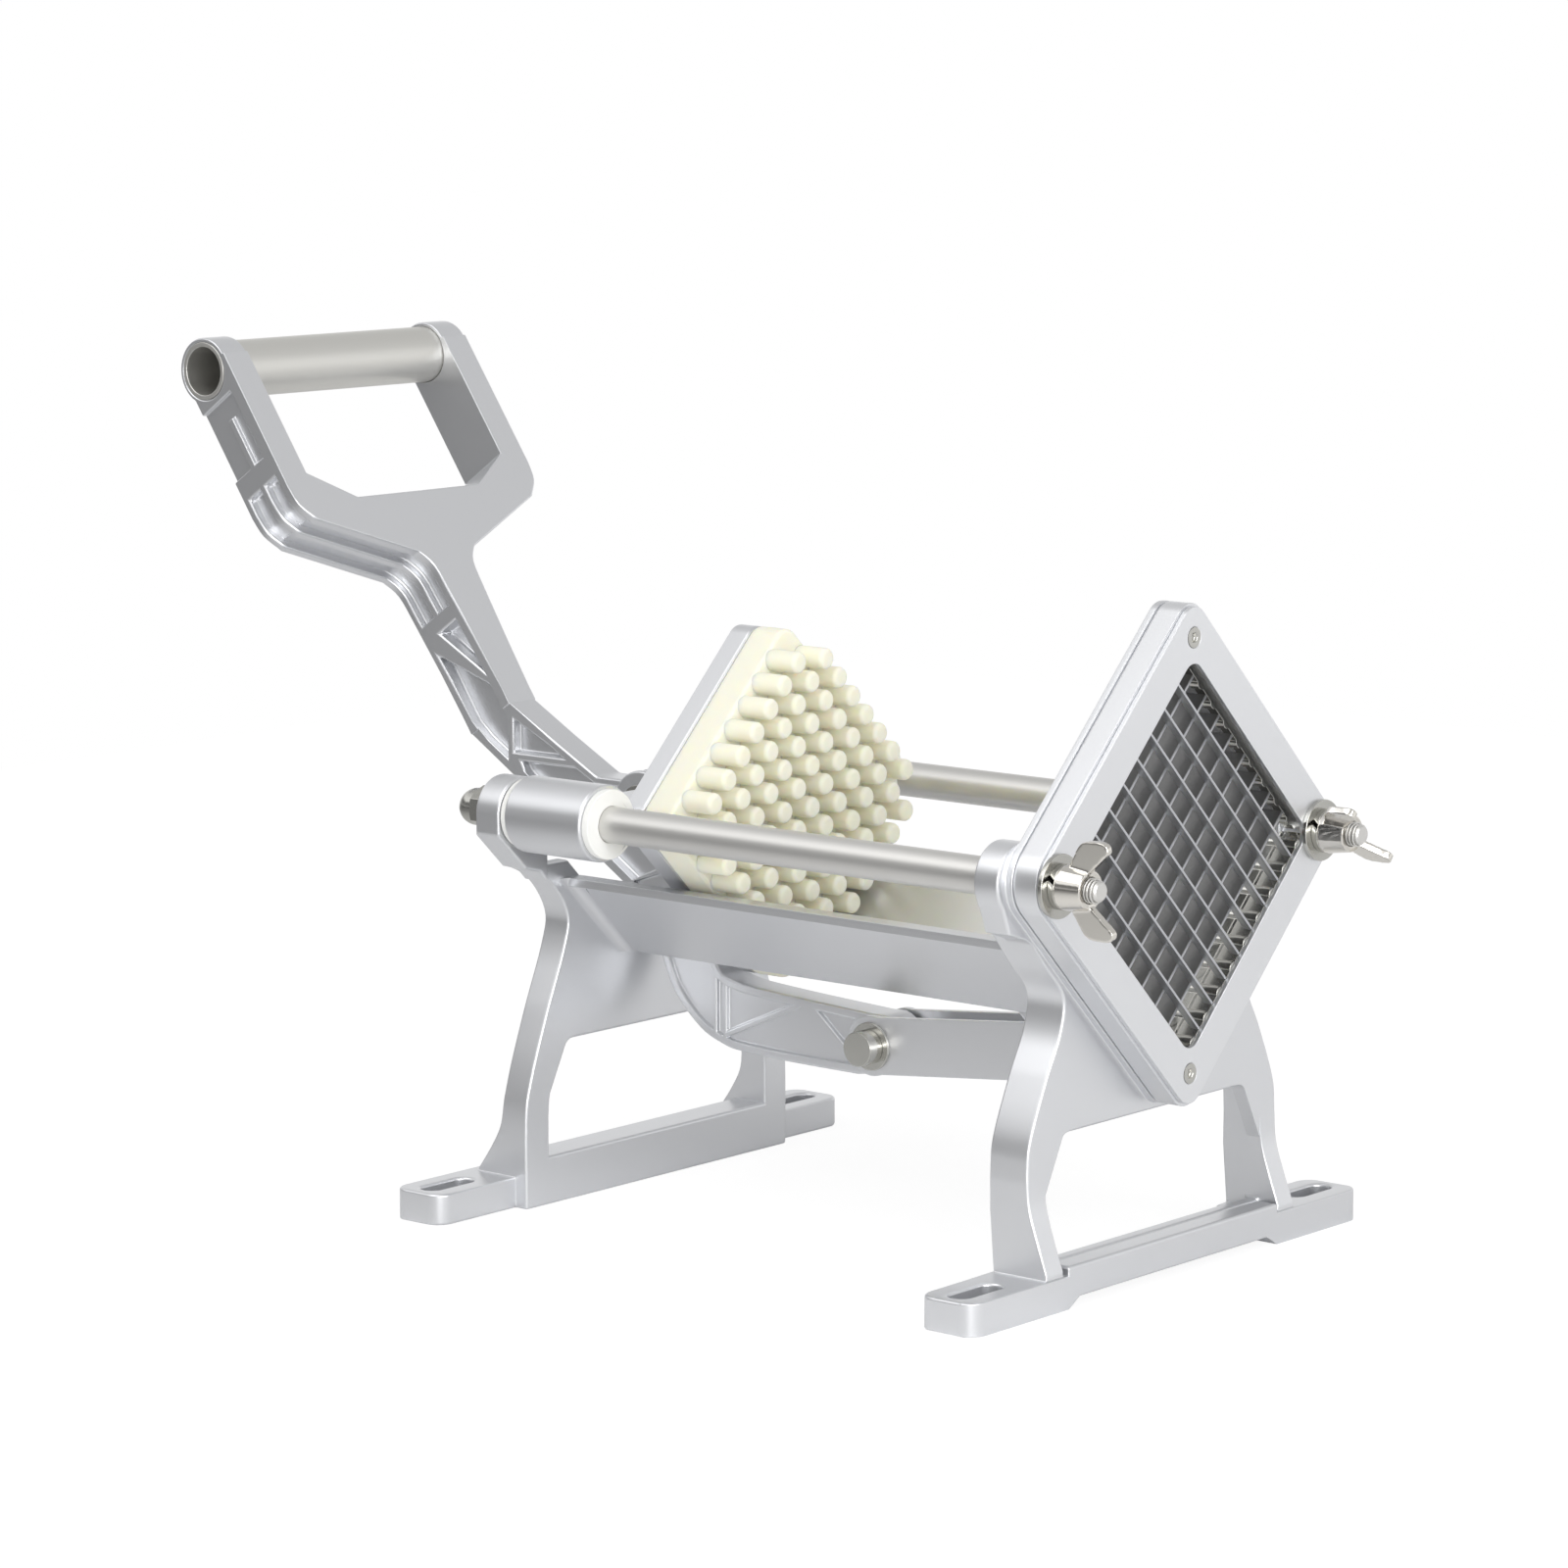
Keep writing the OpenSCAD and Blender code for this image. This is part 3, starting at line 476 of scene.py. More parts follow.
def reach(*nodes):
    """Lowest and highest corner of CAD nodes."""
    points = [v.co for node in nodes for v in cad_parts[node].data.vertices]
    return [Vector([pick(p[i] for p in points) for i in range(3)]) for pick in (min, max)]


def merged_mesh(name, nodes):
    """The CAD nodes' triangles, joined into whole faces in one mesh."""
    bm = bmesh.new()
    for node in nodes:
        bm.from_mesh(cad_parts[node].data)
    bmesh.ops.remove_doubles(bm, verts=bm.verts, dist=SAME_POINT)
    bmesh.ops.dissolve_limit(
        bm, angle_limit=SAME_FACE, verts=bm.verts, edges=bm.edges, use_dissolve_boundaries=False
    )
    bm.verts.index_update()
    points = [v.co.copy() for v in bm.verts]
    faces = [[v.index for v in f.verts] for f in bm.faces]
    bm.free()
    mesh = bpy.data.meshes.new(name)
    mesh.from_pydata(points, [], faces)
    mesh.validate()
    return mesh


def face_room(bm, hard, room, width):
    """Lowers the room at vertices that face a sharp edge across a narrow face."""
    for face in bm.faces:
        for loop in face.loops:
            if loop.edge not in hard:
                continue
            start, end = loop.vert, loop.link_loop_next.vert
            along = end.co - start.co
            run = along.length
            along = along / run
            inward = face.normal.cross(along)
            for v in face.verts:
                offset = v.co - start.co
                depth = offset.dot(inward)
                place = offset.dot(along)
                beside = -depth / 2 < place < run + depth / 2
                if v not in (start, end) and 0 < depth < NARROW * width and beside:
                    for corner in (v, start, end):
                        room[corner] = min(room[corner], FACE_SHARE * depth)


def runs_on(edge, other, corner):
    """Whether two edges meet at the corner without a sharp bend."""
    a = edge.other_vert(corner).co - corner.co
    b = other.other_vert(corner).co - corner.co
    return a.normalized().dot(b.normalized()) < -0.85


def eased(widths, rise=0.04):
    """Lets the rounding along a smooth line grow only slowly from its narrowest place."""
    queue = [(width, edge.index, edge) for edge, width in widths.items()]
    heapq.heapify(queue)
    while queue:
        width, _, edge = heapq.heappop(queue)
        if width > widths[edge]:
            continue
        for corner in edge.verts:
            for other in corner.link_edges:
                if other is edge or other not in widths or not runs_on(edge, other, corner):
                    continue
                limit = width + rise * (edge.calc_length() + other.calc_length()) / 2
                if limit < widths[other]:
                    widths[other] = limit
                    heapq.heappush(queue, (limit, other.index, other))
    return widths


def mark_edges(mesh, width, sharp):
    """Weights each sharp edge for rounding, less where the faces beside it are small."""
    bm = bmesh.new()
    bm.from_mesh(mesh)
    bm.normal_update()
    layers = bm.edges.layers.float
    weight = layers.get("bevel_weight_edge") or layers.new("bevel_weight_edge")
    hard = {e for e in bm.edges if len(e.link_faces) == 2 and e.calc_face_angle(0.0) > sharp}
    room = {}
    for v in bm.verts:
        soft = [e.calc_length() for e in v.link_edges if e not in hard]
        corner = [e.calc_length() for e in v.link_edges if e in hard]
        if len(corner) > 2:
            soft += corner
        room[v] = min([EDGE_SHARE * side for side in soft] + [width])
    face_room(bm, hard, room, width)
    bm.edges.index_update()
    for e, wide in eased({e: min(room[v] for v in e.verts) for e in hard}).items():
        e[weight] = max(0.0, min(1.0, wide / width))
    bm.to_mesh(mesh)
    bm.free()


def applied(piece):
    """Turns what the modifiers show into the piece's plain mesh."""
    graph = bpy.context.evaluated_depsgraph_get()
    mesh = bpy.data.meshes.new_from_object(piece.evaluated_get(graph))
    mesh.name = piece.name
    piece.modifiers.clear()
    old = piece.data
    piece.data = mesh
    bpy.data.meshes.remove(old)
    return piece


def mended(piece, slack=0.1 * MM * MM):
    """Splits a large flat face afresh where its rounded outline is too tangled for the plain way."""
    bm = bmesh.new()
    bm.from_mesh(piece.data)
    covered = {}
    for a, b, c in bm.calc_loop_triangles():
        area = area_tri(a.vert.co, b.vert.co, c.vert.co)
        covered[a.face] = covered.get(a.face, 0.0) + area
    tangled = [
        face for face, area in covered.items() if len(face.verts) > 4 and area - face.calc_area() > slack
    ]
    for face in tangled:
        turn = face.normal.to_track_quat("Z", "Y").to_matrix().transposed()
        flat = [turn @ v.co for v in face.verts]
        points, _, triangles, sources, _, _ = delaunay_2d_cdt(
            [point.xy for point in flat], [], [list(range(len(flat)))], 1, 1e-7
        )
        height = sum(point.z for point in flat) / len(flat)
        corners = [
            face.verts[source[0]] if source else bm.verts.new(turn.transposed() @ Vector((*point, height)))
            for point, source in zip(points, sources)
        ]
        for triangle in triangles:
            group = [corners[i] for i in triangle]
            if len(set(group)) == 3 and not bm.faces.get(group):
                bm.faces.new(group).material_index = face.material_index
    bmesh.ops.delete(bm, geom=tangled, context="FACES_ONLY")
    bm.to_mesh(piece.data)
    bm.free()
    return piece


def shaded(piece, sharp=math.radians(35)):
    """Smooth shading that keeps flat faces flat."""
    mesh = piece.data
    mesh.shade_smooth()
    mesh.set_sharp_from_angle(angle=sharp)
    weighted = piece.modifiers.new("Flat faces", "WEIGHTED_NORMAL")
    weighted.keep_sharp = True
    weighted.weight = 100
    return applied(piece)


def rounded(piece, width, segments=3, sharp=math.radians(26)):
    """Rounds the sharp edges of a piece."""
    mark_edges(piece.data, width, sharp)
    bevel = piece.modifiers.new("Rounding", "BEVEL")
    bevel.width = width
    bevel.segments = segments
    bevel.limit_method = "WEIGHT"
    bevel.use_clamp_overlap = False
    bevel.loop_slide = False
    return shaded(mended(applied(piece)))


def rounded_copy(name, nodes, material, width, segments=3):
    """A copy of CAD nodes with softly rounded edges."""
    return rounded(plain_object(name, merged_mesh(name, nodes), material), width, segments)


def soft_copy(name, node, material, grain):
    """A copy of a CAD node with the soft skin of a small casting."""
    piece = plain_object(name, merged_mesh(name, [node]), material)
    skin = piece.modifiers.new("Skin", "REMESH")
    skin.mode = "VOXEL"
    skin.voxel_size = grain
    skin.use_smooth_shade = True
    soft = piece.modifiers.new("Soft", "SMOOTH")
    soft.factor = 0.5
    soft.iterations = 5
    return applied(piece)


def solid(name, points, faces, material):
    """A closed mesh whose faces point outwards."""
    bm = bmesh.new()
    corners = [bm.verts.new(point) for point in points]
    for face in faces:
        bm.faces.new([corners[i] for i in face])
    bmesh.ops.recalc_face_normals(bm, faces=bm.faces)
    mesh = bpy.data.meshes.new(name)
    bm.to_mesh(mesh)
    bm.free()
    return plain_object(name, mesh, material)


def prism(name, outline, sweep, material):
    """A flat outline of points, swept in a straight line."""
    count = len(outline)
    points = list(outline) + [point + sweep for point in outline]
    sides = [(i, (i + 1) % count, (i + 1) % count + count, i + count) for i in range(count)]
    return solid(name, points, [range(count), range(count, 2 * count), *sides], material)


def turned(name, outline, centre, material, steps=64):
    """A solid of revolution about a line along X, from an outline of (x, radius)."""
    points, faces = [], []
    for x, radius in outline:
        for i in range(steps):
            angle = 2 * math.pi * i / steps
            points.append(centre + Vector((x, radius * math.cos(angle), radius * math.sin(angle))))
    for ring in range(len(outline) - 1):
        for i in range(steps):
            a, b = ring * steps + i, ring * steps + (i + 1) % steps
            faces.append((a, b, b + steps, a + steps))
    last = (len(outline) - 1) * steps
    return solid(name, points, [*faces, range(steps), range(last, last + steps)], material)


def joined(piece, other):
    """Adds another object's mesh to the piece."""
    bm = bmesh.new()
    bm.from_mesh(piece.data)
    bm.from_mesh(other.data)
    bm.to_mesh(piece.data)
    bm.free()
    bpy.data.objects.remove(other)
    return piece


def rounded_square(side, radius, steps=8):
    """Corners of a square with rounded corners that stands on its corner, as (y, z) round its middle."""
    points = []
    for quarter in range(4):
        for i in range(steps + 1):
            angle = math.radians(90 * (quarter + i / steps))
            across = (side / 2 - radius) * math.copysign(1, math.cos(math.radians(90 * quarter + 45)))
            up = (side / 2 - radius) * math.copysign(1, math.sin(math.radians(90 * quarter + 45)))
            y, z = across + radius * math.cos(angle), up + radius * math.sin(angle)
            points.append(((y - z) * math.sqrt(0.5), (y + z) * math.sqrt(0.5)))
    return points


def settled(piece, body, slot, *nodes):
    """Makes the piece move with its body, and stand for the CAD nodes."""
    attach(piece, body)
    if nodes:
        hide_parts(*nodes)
    return piece


# ---- the pieces ----
class CUTTER_OT_castings(Operator):
    """Cast body, carriage and lever with soft cast edges"""

    bl_idname = "cutter.castings"
    bl_label = "Castings"

    def execute(self, context):
        edge = sizes().cast_edge
        for node, body in (
            ("front_frame", "frame"), ("trough", "frame"), ("rear_frame", "frame"),
            ("carriage", "carriage"), ("lever", "lever"),
        ):
            wide = edge / 2 if node == "trough" else edge
            piece = rounded_copy(node + "_casting", [node], cast_aluminium(), wide)
            settled(piece, body, "cast_aluminium", node)
        return {"FINISHED"}


def socket_screws(name, node):
    """The two cassette screws, each with a six-sided socket in its head."""
    size = sizes()
    low, high = reach(node)
    screws = plain_object(name, merged_mesh(name, [node]), plated_steel())
    head = max(v.co.y for v in screws.data.vertices)
    floor, mouth = 0.35 * size.socket_width, 0.6 * size.socket_width
    outline = [(high.x - size.socket_depth, floor), (high.x + size.socket_depth, mouth)]
    for height in (low.z + head, high.z - head):
        cutter = turned("socket_cutter", outline, Vector((0, 0, height)), plated_steel(), 6)
        cut = screws.modifiers.new("Socket", "BOOLEAN")
        cut.operation = "DIFFERENCE"
        cut.solver = "EXACT"
        cut.object = cutter
        applied(screws)
        bpy.data.objects.remove(cutter)
    return rounded(screws, size.turned_edge)


class CUTTER_OT_cassette(Operator):
    """Blade holder and its front frame"""

    bl_idname = "cutter.cassette"
    bl_label = "Cassette"

    def execute(self, context):
        edge = sizes().turned_edge
        for node in ("blade_holder", "blade_frame"):
            piece = rounded_copy(node + "_plate", [node], machined_aluminium(), edge)
            settled(piece, "frame", "machined_aluminium", node)
        settled(socket_screws("cassette_screws", "blade_screws"), "frame", "fastener_steel", "blade_screws")
        return {"FINISHED"}


def on_row(turn, x, along, across):
    """A point of a blade row: along its blades, and across them."""
    c, n = math.cos(turn), math.sin(turn)
    return Vector((x, along * c - across * n, sizes().rod_height + along * n + across * c))


def ground_section(size, low, high):
    """Section of a blade that is ground to an edge at the back, as (x, across)."""
    thick, edge = size.blade_thickness / 2, size.blade_thickness / 16
    return [
        (low, -edge), (low, edge), (low + size.blade_grind, thick), (high, thick),
        (high, -thick), (low + size.blade_grind, -thick),
    ]


def flat_section(size, low, high):
    """Section of the flat front edge of a blade, which carries a painted glint."""
    thick = size.blade_thickness / 2
    return [(low, -thick), (low, thick), (high, thick), (high, -thick)]


def blade_row(name, section, turn, material):
    """One row of blades, made by repeating one blade of the given section."""
    size = sizes()
    half = (size.blade_count + 1) * size.blade_pitch / 2
    outline = [on_row(turn, x, -half, across) for x, across in section]
    sweep = on_row(turn, 0, half, 0) - on_row(turn, 0, -half, 0)
    blade = shaded(prism(name, outline, sweep, material), math.radians(5))
    direction = on_row(turn, 0, 0, 1) - on_row(turn, 0, 0, 0)
    return grown(
        blade, row_tree(), {"Count": size.blade_count, "Pitch": size.blade_pitch, "Direction": direction}
    )


def toothed_bar(size, steps=10):
    """Outline of one end bar with a tooth between each two blades, as (along, across)."""
    half = (size.blade_count + 1) * size.blade_pitch / 2
    end = half - size.bar_gap
    inset = size.tooth_radius - size.tooth_reach
    lean = math.acos(-inset / size.tooth_radius)
    points = [(half + size.bar_width, -end), (half + size.bar_width, end), (half, end)]
    for tooth in range(size.blade_count, -1, -1):
        middle = (tooth - size.blade_count / 2) * size.blade_pitch
        for i in range(steps + 1):
            angle = lean + (2 * math.pi - 2 * lean) * i / steps
            along = half + inset + size.tooth_radius * math.cos(angle)
            points.append((along, middle + size.tooth_radius * math.sin(angle)))
    return points + [(half, -end)]


def end_bars(name, back, front, turn, material):
    """The two toothed bars at the ends of a blade row, between two places along X."""
    size = sizes()
    pair = None
    for side in (0, math.pi):
        outline = [on_row(turn + side, back, *point) for point in toothed_bar(size)]
        bar = rounded(prism(name, outline, Vector((front - back, 0, 0)), material), size.turned_edge)
        pair = joined(pair, bar) if pair else bar
    return pair


class CUTTER_OT_blades(Operator):
    """Two rows of crossed blades with the toothed bars that hold their ends"""

    bl_idname = "cutter.blades"
    bl_label = "Blades"

    def execute(self, context):
        size = sizes()
        back, middle = (corner.x for corner in reach("blades_rear"))
        front = reach("blades_front")[1].x
        # The rear blades' front edges take the near white front blade finish as a painted glint.
        bright = middle - size.painted_glint_edge
        rising, falling = math.radians(45), math.radians(-45)
        for node, bar_back, bar_front, turn in (
            ("blades_rear", middle - size.bar_depth, middle, rising),
            ("blades_front", back, front, falling),
        ):
            bars = end_bars(node + "_bars", bar_back, bar_front, turn, plated_steel())
            settled(bars, "frame", "blade_steel", node)
        for name, section, turn, material in (
            ("blades_rear_row_painted_shade", ground_section(size, back, bright), rising, painted_shade_blade_steel()),
            ("blades_rear_painted_glint_edges", flat_section(size, bright, middle), rising, blade_steel()),
            ("blades_front_row_painted_light", ground_section(size, middle, front), falling, blade_steel()),
        ):
            settled(blade_row(name, section, turn, material), "frame", "blade_steel")
        return {"FINISHED"}


def threaded_rod(name, node, side):
    """A ground rod between two thinner ends, with a thread at its front end."""
    size = sizes()
    low, high = reach(node)
    seat, shoulder = reach("blade_holder")[0].x, reach("rear_washers")[1].x
    radius, core = size.rod_diameter / 2, size.stud_diameter / 2 - size.thread_depth
    bevel = size.rod_bevel
    outline = [
        (low.x, core), (shoulder, core), (shoulder, radius - bevel), (shoulder + bevel, radius),
        (seat - bevel, radius), (seat, radius - bevel), (seat, core), (high.x - bevel, core),
        (high.x, core - bevel),
    ]
    centre = Vector((0, side * size.rod_side, size.rod_height))
    rod = shaded(turned(name, outline, centre, ground_steel()))
    ridge = size.thread_depth / 2
    run = high.x - seat - 3 * size.thread_pitch
    return grown(
        rod, thread_tree(),
        {
            "Turns": run / size.thread_pitch, "Radius": size.stud_diameter / 2 - ridge, "Length": run,
            "Ridge": ridge, "Place": centre + Vector((high.x - run - size.thread_pitch, 0, 0)),
        },
    )


class CUTTER_OT_rods(Operator):
    """Guide rods with threaded ends"""

    bl_idname = "cutter.rods"
    bl_label = "Rods"

    def execute(self, context):
        for side, place in (("left", 1), ("right", -1)):
            node = "guide_rod_" + side
            settled(threaded_rod(node + "_ground", node, place), "frame", "ground_steel", node)
        return {"FINISHED"}


def spring_ring(name, centre, near, far, steps=40):
    """A spring washer with a slanted gap, between two faces across X."""
    size = sizes()
    outer = reach("spring_washers")[1].y - size.rod_side - size.washer_play
    inner = size.stud_diameter / 2 + size.washer_play
    gap = size.washer_gap / outer
    points, faces = [], []
    for i in range(steps + 1):
        for x, lean in ((near, 0.0), (far, gap)):
            angle = math.radians(150) + gap / 2 + lean + (2 * math.pi - gap) * i / steps
            for radius in (inner, outer):
                points.append(centre + Vector((x, radius * math.cos(angle), radius * math.sin(angle))))
    order = (0, 1, 3, 2)
    for i in range(steps):
        for j in range(4):
            a, b = 4 * i + order[j], 4 * i + order[(j + 1) % 4]
            faces.append((a, b, b + 4, a + 4))
    ends = [order, [4 * steps + corner for corner in order]]
    return solid(name, points, [*faces, *ends], plated_steel())


class CUTTER_OT_fasteners(Operator):
    """Washers, nuts, wing nuts, pins and their rings"""

    bl_idname = "cutter.fasteners"
    bl_label = "Fasteners"

    def execute(self, context):
        edge = sizes().turned_edge
        for node, body in (
            ("rear_washers", "frame"), ("rear_nuts", "frame"), ("front_washers", "frame"),
            ("block_screws", "carriage"), ("lever_pin", "carriage"),
            ("lever_pin_clips", "carriage"), ("link_pin", "link"), ("link_pin_clips", "link"),
            ("anchor_pin", "link"), ("anchor_clips", "link"),
        ):
            piece = rounded_copy(node + "_plated", [node], plated_steel(), edge)
            settled(piece, body, "fastener_steel", node)
        near, far = (corner.x for corner in reach("spring_washers"))
        for side, place in (("left", 1), ("right", -1)):
            node = "wing_nut_" + side
            piece = soft_copy(node + "_cast", node, nickel_plate(), sizes().wing_grain)
            settled(piece, node, "nickel_plate", node)
            centre = Vector((0, place * sizes().rod_side, sizes().rod_height))
            ring = rounded(spring_ring("spring_washer_" + side, centre, near, far), edge)
            settled(ring, "frame", "fastener_steel", "spring_washers")
        return {"FINISHED"}


def block_body(size, low, high):
    """The square block itself, standing on its corner."""
    corners = rounded_square(size.block_side, size.block_corner)
    outline = [Vector((low.x, y, size.rod_height + z)) for y, z in corners]
    sweep = Vector((high.x - size.finger_length - low.x, 0, 0))
    block = prism("push_block_body", outline, sweep, ivory_plastic())
    return rounded(block, size.block_edge, 4, math.radians(40))


def block_fingers(size, high):
    """One finger with a rounded tip, repeated behind each cell of the blades."""
    base, radius = high.x - size.finger_length, size.finger_diameter / 2
    tip = [
        (high.x - size.finger_tip * (1 - math.sin(angle)), radius - size.finger_tip * (1 - math.cos(angle)))
        for angle in (math.radians(90 * i / 5) for i in range(6))
    ]
    outline = [(base - size.finger_root, radius), (base, radius), *tip]
    finger = turned("push_block_fingers", outline, Vector((0, 0, size.rod_height)), ivory_plastic(), 24)
    grid = {"Count": size.blade_count + 1, "Pitch": size.blade_pitch}
    return grown(shaded(finger, math.radians(50)), finger_tree(), grid)


class CUTTER_OT_push_block(Operator):
    """Ivory push block with its fingers, and the white bushes"""

    bl_idname = "cutter.push_block"
    bl_label = "Push block"

    def execute(self, context):
        low, high = reach("push_block")
        settled(block_body(sizes(), low, high), "carriage", "ivory_plastic", "push_block")
        settled(block_fingers(sizes(), high), "carriage", "ivory_plastic")
        for node in ("bushes_front", "bushes_rear"):
            piece = rounded_copy(node + "_turned", [node], white_nylon(), sizes().turned_edge)
            settled(piece, "carriage", "white_nylon", node)
        return {"FINISHED"}


class CUTTER_OT_link(Operator):
    """Link channel and grip tube"""

    bl_idname = "cutter.link"
    bl_label = "Link and grip"

    def execute(self, context):
        edge = sizes().turned_edge
        link = rounded_copy("link_channel", ["link"], machined_aluminium(), edge)
        settled(link, "link", "machined_aluminium", "link")
        grip = rounded_copy("grip_tube_drawn", ["grip_tube"], grip_steel(), edge)
        settled(grip, "lever", "grip_steel", "grip_tube")
        return {"FINISHED"}


# ---- the stage ----
CAMERA_AT = Vector((0.9631, -1.3027, 0.4035))
CAMERA_RIGHT = Vector((0.75997555, 0.64994846, -0.00204091))
CAMERA_UP = Vector((-0.09658792, 0.116043, 0.98853669))
CAMERA_BACK = Vector((0.64273474, -0.75106659, 0.15096701))
CAMERA_LENS = 119.79
# What metal mirrors, as the sine of the elevation and the brightness there.
DARK_SIDE = (-0.65, -0.75, 0.0)
DARK_LEVELS = (
    (-0.4, 0.12), (-0.02, 0.15), (0.06, 0.45), (0.14, 0.2), (0.31, 0.15),
    (0.41, 1.0), (0.6, 0.95), (0.8, 0.6), (1.0, 0.4),
)
DARK_FROM, DARK_TO = 0.1, 0.8
PALE_LEVELS = ((-0.4, 0.9), (0.25, 0.85), (0.45, 0.55), (0.7, 0.55), (1.0, 0.45))


# Where the dark side of the room begins on the floor, and how dark metal mirrors it there.
SHADE_FROM, SHADE_TO, SHADE_LEVEL = 0.15, 0.6, 0.35
FLOOR_HALF = 1.1
FLOOR_GLOW = 1.1
FLOOR_GLOW_SHARE = 0.8
# Name, place, target, size and share of the power of each lamp.
MIDDLE = (-0.1, 0.0, 0.12)
LAMPS = (
    ("key_light", (-0.4, -0.9, 1.6), MIDDLE, (1.4, 1.4), 1.5),
    ("front_light", (1.5, -0.7, 0.9), MIDDLE, (1.2, 1.2), 2.9),
    ("low_light", (1.5, -1.7, 0.2), (0.0, 0.0, 0.14), (0.9, 0.35), 1.2),
)
BLADE_LAMP = ("blade_light", (0.5, -0.6, 0.05), (0.0, 0.0, 0.135), (0.5, 0.2), 0.45)


def add_camera():
    """The camera that the sizes were measured with."""
    data = bpy.data.cameras.new("camera")
    data.lens = CAMERA_LENS
    data.sensor_width = 36.0
    data.clip_start = 0.05
    data.clip_end = 20.0
    camera = bpy.data.objects.new("camera", data)
    turn = Matrix((CAMERA_RIGHT, CAMERA_UP, CAMERA_BACK)).transposed().to_4x4()
    camera.matrix_world = Matrix.Translation(CAMERA_AT) @ turn
    bpy.context.scene.collection.objects.link(camera)
    bpy.context.scene.camera = camera


def add_lamp(name, at, target, size, share):
    """A soft box that faces its target, with its share of the power."""
    data = bpy.data.lights.new(name, "AREA")
    data.shape = "RECTANGLE"
    data.size, data.size_y = size
    data.energy = bpy.context.scene.cutter_stage.key * share
    lamp = bpy.data.objects.new(name, data)
    away = (Vector(at) - Vector(target)).normalized()
    lamp.matrix_world = Matrix.Translation(at) @ away.to_track_quat("Z", "Y").to_matrix().to_4x4()
    bpy.context.scene.collection.objects.link(lamp)
    return lamp


def add_blade_lamp():
    """A glint on the front blades alone."""
    lamp = add_lamp(*BLADE_LAMP)
    lamp.visible_camera = False
    lit = bpy.data.collections.new("lit_blades")
    lit.objects.link(bpy.data.objects["blades_front_row_painted_light"])
    lamp.light_linking.receiver_collection = lit


def level_by_height(nodes, links, height, levels):
    """Brightness of the sky by the sine of its elevation."""
    share = chain(nodes, links, "ShaderNodeMapRange", {"Value": height, "From Min": -1.0, "From Max": 1.0})
    bands = chain(nodes, links, "ShaderNodeValToRGB", {"Fac": share.outputs["Result"]})
    stops = bands.color_ramp.elements
    for _ in levels[2:]:
        stops.new(0.5)
    for stop, (sine, level) in zip(stops, levels):
        stop.position = (sine + 1) / 2
        stop.color = (level, level, level, 1.0)
    return bands.outputs["Color"]


def studio_bands(nodes, links):
    """What polished metal mirrors: a dark room on one side, a pale one on the other, and soft boxes."""
    place = nodes.new("ShaderNodeTexCoord")
    apart = chain(nodes, links, "ShaderNodeSeparateXYZ", {0: place.outputs["Generated"]})
    toward = chain(
        nodes, links, "ShaderNodeVectorMath", {0: place.outputs["Generated"], 1: DARK_SIDE},
        operation="DOT_PRODUCT",
    )
    side = chain(
        nodes, links, "ShaderNodeMapRange",
        {"Value": toward.outputs["Value"], "From Min": DARK_FROM, "From Max": DARK_TO},
        interpolation_type="SMOOTHSTEP",
    )
    mix = chain(nodes, links, "ShaderNodeMix", {"Factor": side.outputs["Result"]}, data_type="RGBA")
    links.new(level_by_height(nodes, links, apart.outputs["Z"], PALE_LEVELS), mix.inputs[6])
    links.new(level_by_height(nodes, links, apart.outputs["Z"], DARK_LEVELS), mix.inputs[7])
    bright = chain(
        nodes, links, "ShaderNodeMath",
        {0: mix.outputs[2], 1: bpy.context.scene.cutter_stage.bands}, operation="MULTIPLY",
    )
    return bright.outputs[0]


def add_world():
    """White behind the object, the studio bands in its metal, and an even sky as its light."""
    world = bpy.data.worlds.new("studio")
    bpy.context.scene.world = world
    world.use_nodes = True
    nodes, links = world.node_tree.nodes, world.node_tree.links
    nodes.clear()
    path = nodes.new("ShaderNodeLightPath")
    mirrored = chain(
        nodes, links, "ShaderNodeMapRange",
        {
            "Value": path.outputs["Is Glossy Ray"], "To Min": bpy.context.scene.cutter_stage.sky,
            "To Max": studio_bands(nodes, links),
        },
    )
    direct = chain(
        nodes, links, "ShaderNodeMath",
        {0: path.outputs["Is Camera Ray"], 1: path.outputs["Is Transmission Ray"]}, operation="MAXIMUM",
    )
    strength = chain(
        nodes, links, "ShaderNodeMapRange",
        {"Value": direct.outputs[0], "To Min": mirrored.outputs["Result"], "To Max": 1.0},
    )
    white = (1.0, 1.0, 1.0, 1.0)
    shader = chain(
        nodes, links, "ShaderNodeBackground", {"Color": white, "Strength": strength.outputs["Result"]}
    )
    output = nodes.new("ShaderNodeOutputWorld")
    links.new(shader.outputs[0], output.inputs["Surface"])


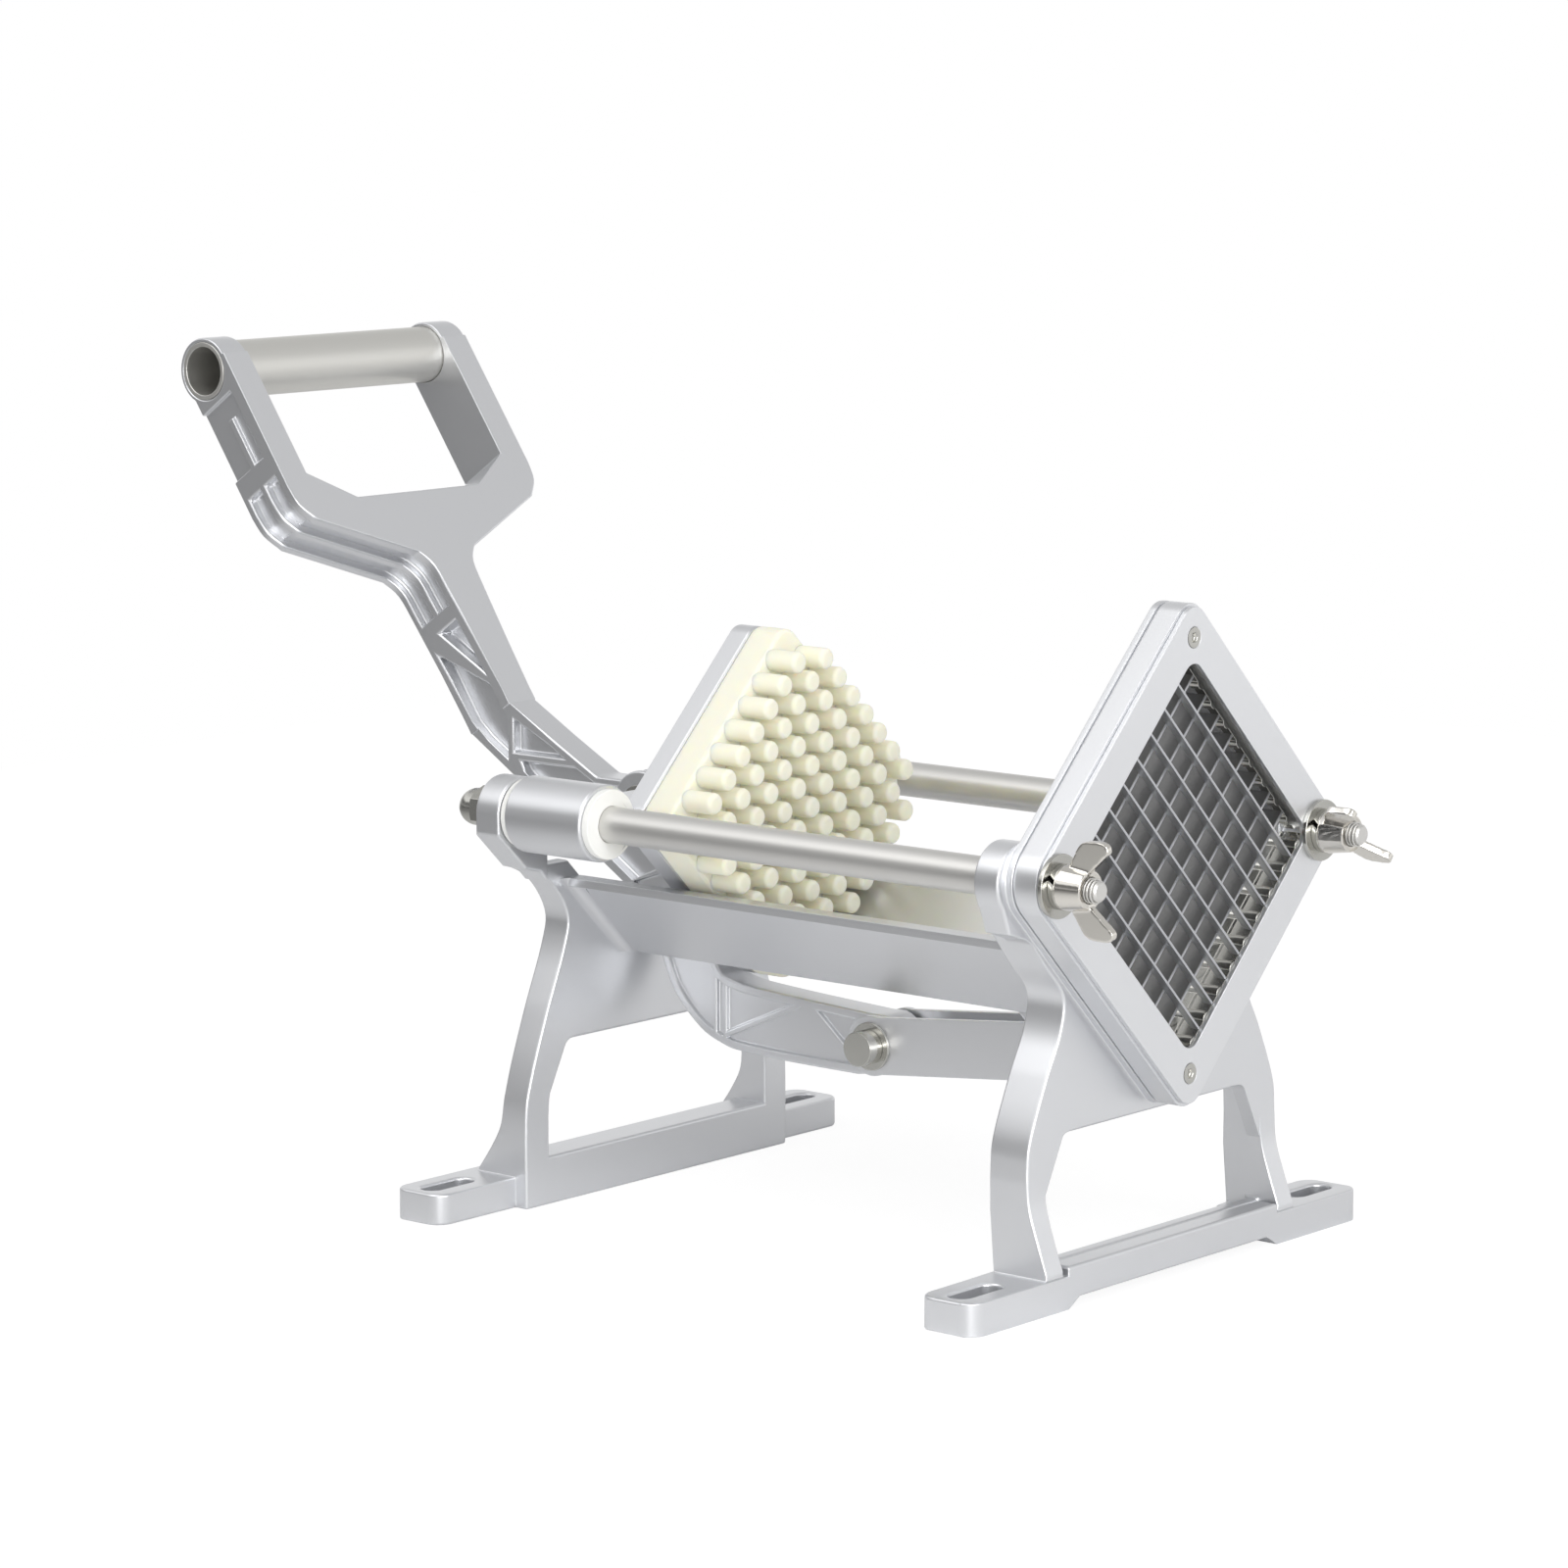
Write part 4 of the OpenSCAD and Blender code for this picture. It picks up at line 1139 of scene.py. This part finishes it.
def floor_material():
    """A white floor that metal mirrors darker on the dark side of the room."""
    material = bpy.data.materials.new("studio_floor")
    material.use_nodes = True
    nodes, links = material.node_tree.nodes, material.node_tree.links
    nodes.clear()
    path = nodes.new("ShaderNodeLightPath")
    share = chain(
        nodes, links, "ShaderNodeMath", {0: path.outputs["Is Camera Ray"], 1: FLOOR_GLOW_SHARE},
        operation="MULTIPLY",
    )
    place = nodes.new("ShaderNodeTexCoord")
    toward = chain(
        nodes, links, "ShaderNodeVectorMath", {0: place.outputs["Object"], 1: DARK_SIDE},
        operation="DOT_PRODUCT",
    )
    dim = chain(
        nodes, links, "ShaderNodeMapRange",
        {
            "Value": toward.outputs["Value"], "From Min": SHADE_FROM, "From Max": SHADE_TO,
            "To Min": 1.0, "To Max": SHADE_LEVEL,
        },
    )
    level = chain(
        nodes, links, "ShaderNodeMapRange",
        {"Value": path.outputs["Is Glossy Ray"], "To Min": 1.0, "To Max": dim.outputs["Result"]},
    )
    rgb = chain(
        nodes, links, "ShaderNodeVectorMath",
        {0: tuple(bpy.context.scene.cutter_stage.floor), "Scale": level.outputs["Result"]},
        operation="SCALE",
    )
    matt = chain(nodes, links, "ShaderNodeBsdfDiffuse", {"Color": rgb.outputs[0]})
    white = (1.0, 1.0, 1.0, 1.0)
    glow = chain(nodes, links, "ShaderNodeEmission", {"Color": white, "Strength": FLOOR_GLOW})
    mix = chain(
        nodes, links, "ShaderNodeMixShader", {0: share.outputs[0], 1: matt.outputs[0], 2: glow.outputs[0]}
    )
    output = nodes.new("ShaderNodeOutputMaterial")
    links.new(mix.outputs[0], output.inputs["Surface"])
    return material


def add_floor():
    """A square floor on the bench height."""
    half = FLOOR_HALF
    mesh = bpy.data.meshes.new("studio_floor")
    mesh.from_pydata(
        [(-half, -half, 0), (half, -half, 0), (half, half, 0), (-half, half, 0)], [], [(0, 1, 2, 3)]
    )
    floor = plain_object("studio_floor", mesh, floor_material())


class CUTTER_OT_stage(Operator):
    """Camera, floor and soft light"""

    bl_idname = "cutter.stage"
    bl_label = "Stage"

    def execute(self, context):
        context.scene.view_settings.view_transform = "Standard"
        add_camera()
        add_world()
        add_floor()
        for lamp in LAMPS:
            add_lamp(*lamp)
        add_blade_lamp()
        return {"FINISHED"}


class CUTTER_PT_pieces(Panel):
    """Lists the operators that dress the cutter"""

    bl_idname = "CUTTER_PT_pieces"
    bl_label = "Fry cutter"
    bl_space_type = "VIEW_3D"
    bl_region_type = "UI"
    bl_category = "Fry cutter"

    def draw(self, context):
        for group in (context.scene.cutter_sizes, context.scene.cutter_colours, context.scene.cutter_stage):
            box = self.layout.box()
            for name in group.__annotations__:
                box.prop(group, name)
        for operator in OPERATORS:
            self.layout.operator(operator.bl_idname)


OPERATORS = (
    CUTTER_OT_castings, CUTTER_OT_cassette, CUTTER_OT_blades, CUTTER_OT_rods,
    CUTTER_OT_fasteners, CUTTER_OT_push_block, CUTTER_OT_link, CUTTER_OT_stage,
)
CLASSES = (CutterSizes, CutterColours, CutterStage, *OPERATORS, CUTTER_PT_pieces)


def register():
    for cls in CLASSES:
        bpy.utils.register_class(cls)
    bpy.types.Scene.cutter_sizes = PointerProperty(type=CutterSizes)
    bpy.types.Scene.cutter_colours = PointerProperty(type=CutterColours)
    bpy.types.Scene.cutter_stage = PointerProperty(type=CutterStage)


def unregister():
    del bpy.types.Scene.cutter_stage
    del bpy.types.Scene.cutter_colours
    del bpy.types.Scene.cutter_sizes
    for cls in reversed(CLASSES):
        bpy.utils.unregister_class(cls)


def main():
    register()
    bpy.ops.cutter.castings()
    bpy.ops.cutter.cassette()
    bpy.ops.cutter.blades()
    bpy.ops.cutter.rods()
    bpy.ops.cutter.fasteners()
    bpy.ops.cutter.push_block()
    bpy.ops.cutter.link()
    bpy.ops.cutter.stage()


if __name__ == "__main__":
    main()
